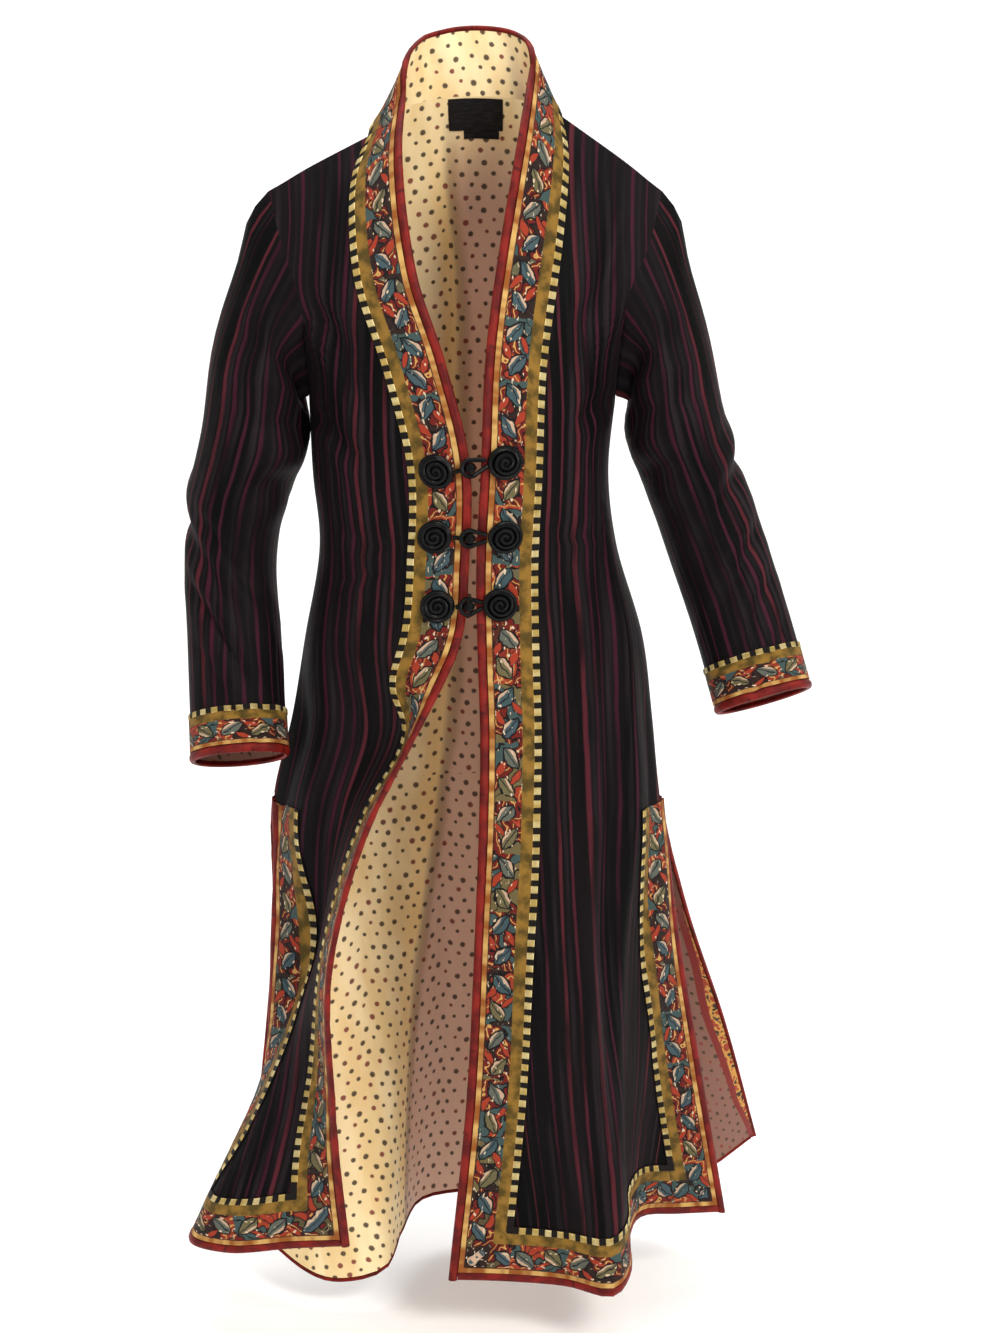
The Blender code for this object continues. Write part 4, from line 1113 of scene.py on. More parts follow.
def make_striped_cloth():
    """Charcoal cloth with plum lines and fainter grey ones, all a little uneven."""
    finish = Finish("striped_cloth", 0.58, gloss=0.055, sheen=0.008)
    finish.shader.inputs["Sheen Roughness"].default_value = 0.40
    across, down = finish.across, finish.down
    drift = (finish.noise(across * 11, down * 2.4) - 0.5) * 0.007
    wobble = (finish.noise(across * 55, down * 16) - 0.5) * 0.0030
    place = (across + drift + wobble) / STRIPE_PITCH
    # Painted shade: long dark streaks down the ground stand for the shade of soft folds.
    streaks = finish.noise(across * 13, down * 1.3, 4.0)
    ground = finish.paint(ink(2, 2, 2), ink(21, 16, 18), streaks.step(0.38, 0.68))
    grey_lines = stripe_lines(finish, place + GREY_SHIFT, GREY_WIDEST)
    patchy = finish.noise(across * 60, down * 4.5).step(0.40, 0.70)
    ground = finish.paint(ground, ink(42, 34, 39), grey_lines * patchy * 0.7)
    plum_lines = stripe_lines(finish, place, PLUM_WIDEST)
    worn = finish.noise(across * 80, down * 6.5 + 3.1, 3.0).step(0.34, 0.62)
    stripe = place.whole()
    plum = finish.paint(ink(54, 20, 34), ink(76, 30, 38), finish.chance(stripe, stripe).step(0.35, 0.85))
    finish.colour(finish.paint(ground, plum, plum_lines * (worn * 0.85 + 0.12)))
    finish.relief(finish.noise(across * 900, down * 420, 3.0), NAP)
    return finish.made


striped_cloth = make_striped_cloth()
print("striped cloth nodes", len(striped_cloth.node_tree.nodes))

# %% [markdown]
# The lining is a soft golden cream with small dark dots in staggered rows, a few of them reddish. Light is
# painted into its ground too. Past a fold that runs down the back it turns to a rosy painted shade, with a
# painted lit strip beside the fold and a painted shadow in its hollow. The inside of the neck is painted
# lighter, and far to one side the ground is painted in shade. The dots are drawn by hand in the picture, so
# each one moves a little off its place and has its own size.

# %% Dotted lining
DOT_PITCH = 0.0158
DOT_ROWS = 0.0127
DOT_RADIUS = 0.0028
DOT_STRAY_ACROSS = 0.0046
DOT_STRAY_DOWN = 0.0036
FOLD_AT_NECK = -0.026
FOLD_LEAN = 0.012
FOLD_SWING = 0.085
FOLD_SWINGS = (0.60, 1.25)
NECK_STARTS = (0.08, 0.22)
NECK_ENDS = (0.60, 0.45)
PAINTED_LIGHT_STARTS = (0.0, 0.12)
SIDE_SHADE = (0.09, 0.18)


def draw_dots(finish, ground):
    """Dark and reddish dots in staggered rows, each a little off its place and of its own size."""
    across, down = finish.across, finish.down
    rows = down / DOT_ROWS
    row = rows.whole()
    columns = across / DOT_PITCH + (row * 0.5).part()
    column = columns.whole()
    pick = finish.chance(column, row)
    other = finish.chance(column + 5.5, row)
    x = (columns.part() - 0.5) * DOT_PITCH - (pick - 0.5) * DOT_STRAY_ACROSS
    y = (rows.part() - 0.5) * DOT_ROWS - (other - 0.5) * DOT_STRAY_DOWN
    reach = (x * x + y * y).math("SQRT") / (other * 0.5 + 0.75)
    wobble = (finish.noise(across * 420, down * 420) - 0.5) * 0.0012
    dots = (reach + wobble).step(DOT_RADIUS * 1.15, DOT_RADIUS * 0.68)
    dot_colour = finish.paint(ink(62, 44, 32), ink(122, 46, 40), pick.step(0.74, 0.80))
    return finish.paint(ground, dot_colour, dots * 0.93)


def lining_ground(finish):
    """Cream ground with painted light and shade round the fold, in the neck and far to one side."""
    across, down = finish.across, finish.down
    cloudy = finish.noise(across * 26, down * 9, 3.0)
    in_neck = down.step(*NECK_STARTS) * down.step(*NECK_ENDS)
    # Painted light and shade fade in below the back's top edge.
    painted_light_share = down.step(*PAINTED_LIGHT_STARTS)
    past_fold = across - FOLD_AT_NECK + down.step(*FOLD_SWINGS) * FOLD_SWING + (cloudy - 0.5) * 0.012
    past_fold = past_fold - in_neck * FOLD_LEAN
    ground = finish.paint(ink(232, 203, 146), ink(247, 226, 178), cloudy.step(0.34, 0.66))
    # Painted light: the ground inside the neck is made lighter against the shade deep inside the coat.
    ground = finish.paint(ground, ink(255, 240, 200), in_neck * 0.7)
    lit = past_fold.step(-0.030, -0.016) * past_fold.step(0.001, -0.008)
    ground = finish.paint(ground, ink(248, 210, 140), lit * painted_light_share * 0.55)
    # Painted shade: past the fold the ground turns rosy, lighter in the neck.
    rosy_shade = finish.paint(ink(208, 168, 152), ink(246, 204, 188), in_neck)
    ground = finish.paint(ground, rosy_shade, past_fold.step(-0.006, 0.010) * painted_light_share * 0.85)
    # Painted shadow in the hollow of the fold.
    hollow = past_fold.step(-0.008, 0.002) * past_fold.step(0.018, 0.005)
    ground = finish.paint(ground, ink(142, 112, 74), hollow * painted_light_share * 0.55)
    # Painted shade far to one side.
    return finish.paint(ground, ink(126, 88, 74), across.step(*SIDE_SHADE))


print("dots every", DOT_PITCH, "m in rows", DOT_ROWS, "m apart")

# %% [markdown]
# On the back panel's right slit the trim turns a little over the edge, so the lining there ends in a red
# line and a sliver of gold. The edge of the flat panel runs straight down and then curves out, which a
# square law follows closely. Only the back's own lining gets this edge, so there are two finishes.

# %% Lining with a turned edge
SLIT_EDGE = 0.2422
SLIT_STRAIGHT = 0.80
SLIT_FLARE = 0.97
TURNED_GOLD = 0.010
TURNED_RED = 0.010
SOFT_LINE = 0.001
RED_STARTS = (0.80, 0.90)
GOLD_STARTS = (0.92, 1.04)
GOLD_ENDS = (1.19, 1.13)


def turned_edge(finish, ground):
    """Red line and gold sliver along the right slit, where the trim turns over the edge."""
    across, down = finish.across, finish.down
    flare = (down - SLIT_STRAIGHT).greater(0.0)
    inside = flare * flare * SLIT_FLARE + SLIT_EDGE - across
    past_gold = inside - down.step(*GOLD_STARTS) * down.step(*GOLD_ENDS) * TURNED_GOLD
    below_hip = down.step(*RED_STARTS)
    red = past_gold.step(TURNED_RED + SOFT_LINE, TURNED_RED) * below_hip
    ground = finish.paint(ground, ink(118, 34, 28), red)
    spots = finish.noise(across * 130, down * 95)
    gold = finish.paint(ink(196, 142, 68), ink(150, 56, 34), spots.step(0.52, 0.58))
    gold = finish.paint(gold, ink(54, 42, 32), spots.step(0.45, 0.40))
    return finish.paint(ground, gold, past_gold.step(SOFT_LINE, 0.0) * below_hip)


def make_dotted_lining(name, slit=False):
    """Dotted lining, with or without the turned edge at the slit."""
    finish = Finish(name, 0.62, gloss=0.25, sheen=0.08)
    ground = draw_dots(finish, lining_ground(finish))
    if slit:
        ground = turned_edge(finish, ground)
    finish.colour(ground)
    finish.relief(finish.noise(finish.across * 1100, finish.down * 1100), 0.0002)
    return finish.made


dotted_lining = make_dotted_lining("dotted_lining")
dotted_back = make_dotted_lining("dotted_back_lining", slit=True)
print("dotted lining nodes", len(dotted_lining.node_tree.nodes), len(dotted_back.node_tree.nodes))

# %% [markdown]
# The trim is a woven band. From the edge inward it has a gold line, a broad brocade strip, a mustard strip
# and a dark strip that carries pale squares. The brocade is a plain design of its own: ribbons in red,
# brown and teal flow along it, and each repeat has two pointed leaves, two small flames and pale flecks.
# Across the band the map tells the distance from the edge, so one formula serves every edge of the coat.

# %% Ribbons and leaves
GOLD_END = 0.0152
MUSTARD = (0.0438, 0.0562)
BROCADE_MIDDLE = (GOLD_END + MUSTARD[0]) / 2
REPEAT = 0.062
Leaf = namedtuple("Leaf", "x y turn half_length half_width")
LEAVES = [Leaf(-0.0155, 0.0020, 34, 0.0140, 0.0074), Leaf(0.0155, -0.0020, 34, 0.0135, 0.0070)]
FLAMES = [Leaf(-0.0045, -0.0085, 150, 0.0095, 0.0036), Leaf(0.0045, 0.0085, 150, 0.0095, 0.0036)]


def ribbons(finish, flip, cell):
    """Flowing ribbons with dark lines between them, some with a gold thread in the middle."""
    edge, run = finish.across, finish.down
    bend = (finish.noise(run * 40, edge * 40 + 4.0) - 0.5) * 5.0
    flow = run * 52.0 + edge * flip * 62.0 + bend
    pick = finish.chance(flow.whole(), cell)
    colour = finish.paint(ink(104, 30, 24), ink(148, 56, 36), pick.step(0.30, 0.34))
    for start, shade in ((0.48, ink(44, 30, 26)), (0.64, ink(104, 92, 60)), (0.80, ink(62, 80, 78))):
        colour = finish.paint(colour, shade, pick.step(start, start + 0.02))
    between = (flow.part() - 0.5).size()
    colour = finish.paint(colour, ink(24, 18, 18), between.step(0.38, 0.44))
    return finish.paint(colour, ink(196, 150, 84), between.step(0.09, 0.04) * pick.step(0.45, 0.40))


def leaf_shape(leaf, x, y):
    """Positive inside a pointed leaf and negative outside, with the place beside its middle."""
    c, s = cos(radians(leaf.turn)), sin(radians(leaf.turn))
    right = x - leaf.x
    up = y - leaf.y
    along_leaf = (right * c + up * s) / leaf.half_length
    across_leaf = (up * c - right * s) / leaf.half_width
    return (along_leaf * along_leaf * -1.0 + 1.0) - across_leaf.size(), across_leaf


def leaves_and_flames(finish, colour, x, y, cell):
    """Two leaves with a pale side and a dark rib, and two small flames between them."""
    mood = finish.chance(cell, cell)
    second = finish.chance(cell + 3.7, cell)
    teal = finish.paint(ink(62, 82, 86), ink(92, 96, 86), mood.step(0.45, 0.55))
    olive = finish.paint(ink(104, 96, 66), ink(66, 84, 90), second.step(0.45, 0.55))
    for leaf, fill in zip(LEAVES, (teal, olive)):
        shape, beside = leaf_shape(leaf, x, y)
        blade = shape.step(0.08, 0.18)
        rib = beside.size().step(0.12, 0.06) * shape.step(0.10, 0.20)
        colour = finish.paint(colour, ink(20, 17, 20), shape.step(-0.22, -0.08))
        colour = finish.paint(colour, fill, blade)
        colour = finish.paint(colour, ink(190, 160, 134), blade * beside.step(0.40, 0.52))
        colour = finish.paint(colour, ink(34, 34, 36), rib)
    for flame in FLAMES:
        shape = leaf_shape(flame, x, y)[0]
        colour = finish.paint(colour, ink(40, 22, 20), shape.step(-0.36, -0.10) * 0.8)
        colour = finish.paint(colour, ink(156, 56, 36), shape.step(0.0, 0.30))
    return colour


print("brocade repeat", REPEAT, "m, leaves in it", len(LEAVES))

# %% [markdown]
# The repeats are turned over one after the other and pushed about by a slow noise, so that the strip doesn't
# look printed. The lines beside it are laid over it last, with slightly frayed edges.

# %% Brocade trim
WEAVE = 0.0011


def border_lines(finish, colour):
    """Gold line on the edge's side of the brocade, mustard and dark strips on the other."""
    edge, run = finish.across, finish.down
    frayed = edge + (finish.noise(run * 150, edge * 20) - 0.5) * 0.0014
    worn = finish.noise(run * 50, edge * 10).step(0.38, 0.64)
    gold = finish.paint(ink(146, 84, 36), ink(208, 166, 98), worn)
    colour = finish.paint(colour, ink(52, 30, 24), frayed.step(GOLD_END + 0.0014, GOLD_END + 0.0006))
    colour = finish.paint(colour, gold, frayed.step(GOLD_END + 0.0004, GOLD_END - 0.0004))
    mottle = finish.noise(run * 60, edge * 60, 3.0)
    mustard = finish.paint(ink(82, 65, 26), ink(140, 105, 43), mottle.step(0.36, 0.62))
    colour = finish.paint(colour, mustard, frayed.step(MUSTARD[0] - 0.0004, MUSTARD[0] + 0.0004))
    return finish.paint(colour, ink(22, 18, 16), frayed.step(MUSTARD[1] - 0.0005, MUSTARD[1] + 0.0005))


def make_brocade():
    """Trim band: brocade strip between its lines, in a coarse weave."""
    finish = Finish("brocade_trim", 0.60, gloss=0.10, sheen=0.02)
    edge, run = finish.across, finish.down
    sway = (finish.noise(run * 60, edge * 60) - 0.5) * 0.0110
    lift = (finish.noise(run * 60 + 9.0, edge * 60) - 0.5) * 0.0100
    repeats = (run + sway) / REPEAT
    cell = repeats.whole()
    flip = (cell * 0.5).part() * 4.0 - 1.0
    x = (repeats.part() - 0.5) * REPEAT
    y = (edge + lift - BROCADE_MIDDLE) * flip
    colour = leaves_and_flames(finish, ribbons(finish, flip, cell), x, y, cell)
    flecks = finish.noise(run * 150, edge * 260, 1.0).step(0.65, 0.71)
    colour = finish.paint(colour, ink(214, 190, 160), flecks)
    finish.colour(border_lines(finish, colour))
    threads = (run / WEAVE).wave() * (edge / WEAVE).wave()
    finish.relief(threads * 0.5 + finish.noise(run * 300, edge * 300), 0.00035)
    return finish.made


brocade_trim = make_brocade()
print("brocade nodes", len(brocade_trim.node_tree.nodes))

# %% [markdown]
# The remaining finishes are small: a brick-red satin binding with darker patches along it, pale thread for
# the squares, glossy black cord with a braid, and a plain woven label.

# %% Binding, pale thread, cord and label
BINDING_RIBS = 0.0016
THREAD_PITCH = 0.0009
BRAID_PITCH = 0.0024
LABEL_WEAVE = 0.0008


def make_binding():
    """Brick-red satin with slanting ribs."""
    finish = Finish("red_binding", 0.46, gloss=0.14)
    run, around = finish.across, finish.down
    cloudy = finish.noise(run * 40, around * 60, 3.0)
    # Darker patches, laid by noise along and round the binding.
    dark_patches = finish.noise(run * 130, around * 30 + 6.0).step(0.60, 0.75) * 0.7
    colour = finish.paint(ink(82, 15, 13), ink(126, 28, 21), cloudy.step(0.35, 0.65))
    finish.colour(finish.paint(colour, ink(52, 11, 12), dark_patches))
    ribs = ((run + around * 0.6) / BINDING_RIBS).wave()
    finish.relief(ribs * 0.3 + finish.noise(run * 500, around * 500), 0.0003)
    return finish.made


def make_pale_thread():
    """Pale satin stitches that lie side by side."""
    finish = Finish("pale_thread", 0.50, gloss=0.25)
    run, across = finish.across, finish.down
    worn = finish.noise(run * 40, across * 40).step(0.40, 0.62)
    finish.colour(finish.paint(ink(198, 168, 92), ink(226, 206, 146), worn))
    finish.relief((across / THREAD_PITCH).wave(), 0.0003)
    return finish.made


def make_black_cord():
    """Glossy black braid."""
    finish = Finish("black_cord", 0.17, gloss=0.13)
    run, around = finish.across, finish.down
    slant = around * 0.5
    braid = ((run + slant) / BRAID_PITCH).wave() * ((run - slant) / BRAID_PITCH).wave()
    finish.colour(finish.paint(ink(2, 2, 3), ink(9, 9, 12), braid.step(0.1, 0.9) * 0.6))
    finish.relief(braid, 0.00014)
    return finish.made


def make_label():
    """Plain black woven tape."""
    finish = Finish("woven_label", 0.55, gloss=0.2)
    across, down = finish.across, finish.down
    streaks = finish.noise(across * 500, down * 90).step(0.4, 0.7)
    finish.colour(finish.paint(ink(14, 13, 15), ink(34, 32, 34), streaks))
    finish.relief((across / LABEL_WEAVE).wave() * (down / LABEL_WEAVE).wave(), 0.0002)
    return finish.made


red_binding = make_binding()
pale_thread = make_pale_thread()
black_cord = make_black_cord()
woven_label = make_label()
print("finishes", len(bpy.data.materials))

# %% [markdown]
# Every cloth piece is a wall: the grid moved out to its outer face, the grid moved to its inner face, and
# a rim round the edges. A Solidify modifier does much the same, but here each face also gets its own
# finish and its place on the flat map.

# %% Walls and sweeps
SHARP_ANGLE = 50


def add_piece(name, points, faces, flat, finishes, face_finish=None, wrap=0.0, wrap_axis=0):
    """Smooth object from points and faces, with a flat map and its finishes."""
    mesh = bpy.data.meshes.new(name)
    mesh.from_pydata(points.tolist(), [], faces)
    shape = bmesh.new()
    shape.from_mesh(mesh)
    bmesh.ops.recalc_face_normals(shape, faces=shape.faces)
    shape.to_mesh(mesh)
    shape.free()
    for made in finishes:
        mesh.materials.append(made)
    if face_finish is not None:
        mesh.polygons.foreach_set("material_index", face_finish)
    corner_points = np.zeros(len(mesh.loops), dtype=np.int32)
    mesh.loops.foreach_get("vertex_index", corner_points)
    corner_map = np.array(flat)[corner_points]
    if wrap:
        sides = corner_map[:, wrap_axis].reshape(-1, 4)
        torn = np.ptp(sides, axis=1) > wrap / 2
        sides[torn] = np.where(sides[torn] < wrap / 2, sides[torn] + wrap, sides[torn])
        corner_map[:, wrap_axis] = sides.ravel()
    layer = mesh.uv_layers.new(name="flat")
    layer.data.foreach_set("uv", corner_map.astype(np.float32).ravel())
    mesh.shade_smooth()
    mesh.set_sharp_from_angle(angle=radians(SHARP_ANGLE))
    made = bpy.data.objects.new(name, mesh)
    bpy.context.scene.collection.objects.link(made)
    return made


def quads(index):
    """Four-sided faces between the rows and columns of a table of point numbers."""
    corners = (index[:-1, :-1], index[:-1, 1:], index[1:, 1:], index[1:, :-1])
    return np.stack([corner.ravel() for corner in corners], axis=1)


def wall(name, points, outward, low, high, flat, finishes, wrap=0.0, wrap_axis=0):
    """Cloth wall on a grid, between two heights along its outward directions."""
    rows, columns = points.shape[:2]
    count = rows * columns
    index = np.arange(count).reshape(rows, columns)
    if wrap:
        index = np.concatenate((index, index[:, :1]), axis=1)
    inner = quads(index)
    rims = [(index[0, :-1], index[0, 1:]), (index[-1, :-1], index[-1, 1:])]
    if not wrap:
        rims += [(index[:-1, 0], index[1:, 0]), (index[:-1, -1], index[1:, -1])]
    rim = np.concatenate([np.stack((a, b, b + count, a + count), axis=1) for a, b in rims])
    faces = np.concatenate((inner + count, inner, rim))
    finish_index = np.zeros(len(faces), dtype=np.int32)
    finish_index[len(inner):2 * len(inner)] = len(finishes) - 1
    places = np.concatenate([(points + height * outward).reshape(-1, 3) for height in (low, high)])
    flat = np.concatenate((flat.reshape(-1, 2), flat.reshape(-1, 2)))
    return add_piece(name, places, faces.tolist(), flat, finishes, finish_index, wrap, wrap_axis)


def sweep(name, stations, finishes, closed=False):
    """Piece through a row of equal outlines, capped at its ends unless it closes on itself."""
    count, sides = stations.shape[:2]
    index = np.arange(count * sides).reshape(count, sides)
    index = np.concatenate((index, index[:, :1]), axis=1)
    if closed:
        index = np.concatenate((index, index[:1]), axis=0)
    faces = quads(index).tolist()
    if not closed:
        faces += [index[0, :-1].tolist(), index[-1, :-1][::-1].tolist()]
    run = lengths(stations.mean(axis=1))
    around = lengths(stations[0])
    flat = np.stack(np.meshgrid(run, around, indexing="ij"), axis=-1).reshape(-1, 2)
    return add_piece(name, stations.reshape(-1, 3), faces, flat, finishes)


def sew(piece, node):
    """The piece stands for its solid, which is hidden, and moves with the coat."""
    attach(piece, "root")
    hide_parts(node)
    return piece


print("wall and sweep ready")

# %% [markdown]
# Two fronts, the back and two sleeves are cut from the striped cloth. Their inside shows the lining: on
# the back and the collar it is a piece of its own, on the fronts and sleeves it is the wall's inner face.

# %% Cut the panels
HEM_END = -1
TUCK = 0.50
COLLAR_CREAM = 0.075


def tuck_hem(grid):
    """Grid or flat map without its last row; the new last row reaches part way under the binding."""
    part = grid[:HEM_END].copy()
    part[-1] += TUCK * (grid[-1] - grid[-2])
    return part


def tuck_panel(grid, first_row):
    """Grid or flat map of a panel, tucked under the bindings of its hem, its slits and its first edge."""
    whole = tuck_hem(grid)
    part = whole[:, 1:-1].copy()
    part[first_row:, 0] += TUCK * (whole[first_row:, 0] - part[first_row:, 0])
    part[BOUND_FROM:, -1] += TUCK * (whole[BOUND_FROM:, -1] - part[BOUND_FROM:, -1])
    return part


for name, front in fronts.items():
    piece = wall("front_cloth_" + name, tuck_panel(front, 0), front_out[name][:HEM_END, 1:], 0.0, SHELL,
                 tuck_panel(grain_map(front), 0), (striped_cloth, dotted_lining))
    sew(piece, "front_" + name)
    "front_" + name

points = tuck_panel(back, BOUND_FROM)
flat = tuck_panel(grain_map(back, back_middle), BOUND_FROM)
out = back_out[:HEM_END, 1:-1]
piece = wall("back_cloth", points, out, 0.0, SHELL, flat, (striped_cloth,))
sew(piece, "back")
piece = wall("back_lining_cloth", points, out, LINING_FACE, -SEAM, flat, (dotted_back,))
sew(piece, "back_lining")

for name, sleeve in sleeves.items():
    flat, around = sleeve_map(sleeve)
    out = sleeve_out[name][:HEM_END]
    piece = wall("sleeve_cloth_" + name, tuck_hem(sleeve), out, 0.0, SHELL, tuck_hem(flat),
                 (striped_cloth, dotted_lining), around)
    sew(piece, "sleeve_" + name)
    "sleeve_" + name

points = tuck_hem(collar[::-1])[::-1]
flat = tuck_hem(collar_flat[::-1])[::-1]
piece = wall("collar_cloth", points, collar_out[1:], 0.0, SHELL, flat, (striped_cloth,))
sew(piece, "collar")
# The collar lining's map is shifted, so that the painted rosy shade and lit strip of the lining fall only
# faintly on its right part.
flat = flat - (COLLAR_CREAM, 0.0)
piece = wall("collar_lining_cloth", points, collar_out[1:], LINING_FACE, -SEAM, flat, (dotted_lining,))
sew(piece, "collar_lining")

# %% [markdown]
# The band lies on the cloth along every edge. Its map holds the distance from the nearest edge and the
# distance along it. At the corners of the hem the nearer of the two edges counts, which gives the mitre
# that a maker would fold there.

# %% Lay the trim bands
FROM_EDGE = TRIM_LINES[1:]
TO_EDGE = FROM_EDGE[::-1]
CUFF_STRETCH = (TRIM_WIDTH - BINDING_WIDTH) / (CUFF_TRIM - BINDING_WIDTH)
trim = {}


def band(name, points, outward, edge_distance, run, wrap=0.0):
    """Trim band on a grid, painted by the distance from the edge and along it."""
    flat = np.stack((edge_distance, run), axis=-1)
    piece = wall(name + "_trim", points, outward, BAND_LOW, BAND_TOP, flat, (brocade_trim,), wrap, 1)
    trim[name] = sew(piece, name)


def edge_band(name, points, outward, from_edge):
    """Band down an edge, mitred where it meets the hem."""
    rows, columns = points.shape[:2]
    line = lengths(points[:, columns // 2])
    edge_distance = np.broadcast_to(from_edge, (rows, columns)).copy()
    run = np.broadcast_to(line[:, None], (rows, columns)).copy()
    corner = slice(rows - len(TO_EDGE), rows)
    below = TO_EDGE[:, None] < edge_distance[corner]
    run[corner] = np.where(below, line[-1] + TO_EDGE[-1] - edge_distance[corner], run[corner])
    edge_distance[corner] = np.where(below, TO_EDGE[:, None], edge_distance[corner])
    band(name, points, outward, edge_distance, run)


def level_band(name, points, outward, from_edge):
    """Band along a hem or the collar, where each row keeps one distance from the edge."""
    run = np.array([lengths(row) for row in points])
    band(name, points, outward, np.broadcast_to(from_edge[:, None], run.shape), run)


first = slice(1, BAND_LINE + 1)
last = slice(-BAND_LINE - 1, HEM_END)
inside = slice(BAND_LINE, -BAND_LINE)
below_slit = slice(SLIT_ROW + 1, HEM_END)
for name, front in fronts.items():
    out = front_out[name]
    edge_band("band_front_" + name, front[:HEM_END, first], out[:HEM_END, first], FROM_EDGE)
    edge_band("band_slit_front_" + name, front[below_slit, last], out[below_slit, -BAND_LINE:], TO_EDGE)
    level_band("band_hem_front_" + name, front[last, inside], out[last, BAND_LINE:1 - BAND_LINE], TO_EDGE)
edge_band("band_slit_back_left", back[below_slit, first], back_out[below_slit, first], FROM_EDGE)
edge_band("band_slit_back_right", back[below_slit, last], back_out[below_slit, last], TO_EDGE)
level_band("band_hem_back", back[last, inside], back_out[last, inside], TO_EDGE)
level_band("band_collar", collar[1:], collar_out[1:], FROM_EDGE)

cuff = slice(-len(CUFF_LINES), HEM_END)
cuff_distance = BINDING_WIDTH + (CUFF_LINES[::-1][:-1] - BINDING_WIDTH) * CUFF_STRETCH
for name, sleeve in sleeves.items():
    flat, around = sleeve_map(sleeve)
    run = flat[cuff, :, 0]
    distance = np.broadcast_to(cuff_distance[:, None], run.shape)
    band("band_cuff_" + name, sleeve[cuff], sleeve_out[name][cuff], distance, run, around)
print("trim bands", len(trim))

# %% [markdown]
# A bias binding rolls round each edge. Its outline is a flat oval, swept along the edge, and it swells
# and thins a little, because stitches pull it in.

# %% Roll the bindings
BINDING_SIDES = 12
BINDING_MIDDLE = 0.50
BINDING_HALF = 0.47
BINDING_INSIDE = 0.45
INSIDE_BLEND = 3
BINDING_RISE = 0.0008
BINDING_THICK = 0.0031
Pucker = namedtuple("Pucker", "length share start")
PUCKERS = [Pucker(0.0110, 0.05, 0.0), Pucker(0.0172, 0.05, 1.1), Pucker(0.0410, 0.04, 2.3)]


def binding(name, edge, inner, outward, closed=False):
    """Rolled binding between an edge line and the line where the cloth ends."""
    run = lengths(edge)
    swell = 1 + sum(p.share * np.sin(2 * pi * run / p.length + p.start) for p in PUCKERS)
    outlines = []
    for turn in np.linspace(0, 2 * pi, BINDING_SIDES + 1)[:-1]:
        share_in = BINDING_MIDDLE + BINDING_HALF * cos(turn)
        inside_part = min(1.0, max(0.0, -INSIDE_BLEND * sin(turn)))
        share_in *= 1 - (1 - BINDING_INSIDE) * inside_part
        height = BINDING_RISE + BINDING_THICK * sin(turn) * swell
        outlines.append(edge + share_in * (inner - edge) + height[:, None] * outward)
    piece = sweep(name + "_roll", np.stack(outlines, axis=1), (red_binding,), closed)
    trim[name] = sew(piece, name)


below = slice(SLIT_ROW + 1, None)
for name, front in fronts.items():
    out = front_out[name]
    binding("binding_front_" + name, front[:, 0], front[:, 1], out[:, 1])
    binding("binding_slit_front_" + name, front[below, -1], front[below, -2], out[below, -1])
    binding("binding_hem_front_" + name, front[-1, 1:-1], front[-2, 1:-1], out[-2, 1:])
binding("binding_slit_back_left", back[below, 0], back[below, 1], back_out[below, 1])
binding("binding_slit_back_right", back[below, -1], back[below, -2], back_out[below, -2])
binding("binding_hem_back", back[-1, 1:-1], back[-2, 1:-1], back_out[-2, 1:-1])
binding("binding_collar", collar[0], collar[1], collar_out[1])
for name, sleeve in sleeves.items():
    binding("binding_cuff_" + name, sleeve[-1], sleeve[-2], sleeve_out[name][-2], True)
print("trim pieces", len(trim))

# %% [markdown]
# Pale squares run along the inner side of the trim like a row of dentils. They are satin-stitched pads, so
# each is a small raised block on the band. All the pads of one band are one object.

# %% Pale squares
DENTIL_PITCH = 0.0138
DENTIL_LENGTH = 0.0074
DENTIL_EDGES = (0.0560, 0.0634)
DENTIL_RISE = 0.0009
DENTIL_TAPER = 0.80
DENTIL_UNEVEN = 0.0006
UNEVEN_STEP = 7.1
PAD_COLUMNS = 3
PAD_POINTS = 4 * PAD_COLUMNS
PAD_RING = (0, 1, 2, 5, 4, 3)
PAD_FACES = [(6, 7, 10, 9), (7, 8, 11, 10), (3, 4, 1, 0), (4, 5, 2, 1)]
PAD_FACES += [(a, b, b + 6, a + 6) for a, b in zip(PAD_RING, PAD_RING[1:] + PAD_RING[:1])]
squares = {}


def dentils(name, low_line, high_line, outward):
    """Row of small pads between two lines on the band's surface."""
    run = lengths((low_line + high_line) / 2)
    count = max(1, int((run[-1] - DENTIL_LENGTH) / DENTIL_PITCH))
    starts = (run[-1] - count * DENTIL_PITCH) / 2 + DENTIL_PITCH * np.arange(count)
    points, faces, flat = [], [], []
    lines = [np.concatenate((line, outward), axis=1) for line in (low_line, high_line)]
    for number, start in enumerate(starts):
        uneven = DENTIL_UNEVEN * sin(UNEVEN_STEP * number)
        stops = start + uneven + np.linspace(0, DENTIL_LENGTH - uneven / 2, PAD_COLUMNS)
        corners = np.concatenate([read(run, line, stops) for line in lines])
        base = corners[:, :3] + BAND_TOP * corners[:, 3:]
        middle = base.mean(axis=0)
        top = middle + DENTIL_TAPER * (base - middle) + DENTIL_RISE * corners[:, 3:]
        faces.extend(tuple(len(points) + corner for corner in face) for face in PAD_FACES)
        points.extend((*base, *top))
        flat.extend([(stop, side) for side in (0.0, DENTIL_LENGTH) for stop in stops] * 2)
    piece = add_piece(name + "_squares", np.array(points), faces, flat, (pale_thread,))
    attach(piece, "root")
    squares[name] = piece


def across_trim(grid, distance, lines):
    """Line along a grid at a distance from the edge, its columns ordered from the edge."""
    place = np.interp(distance, lines, np.arange(len(lines)))
    before = min(int(place), len(lines) - 2)
    return grid[:, before] + (place - before) * (grid[:, before + 1] - grid[:, before])


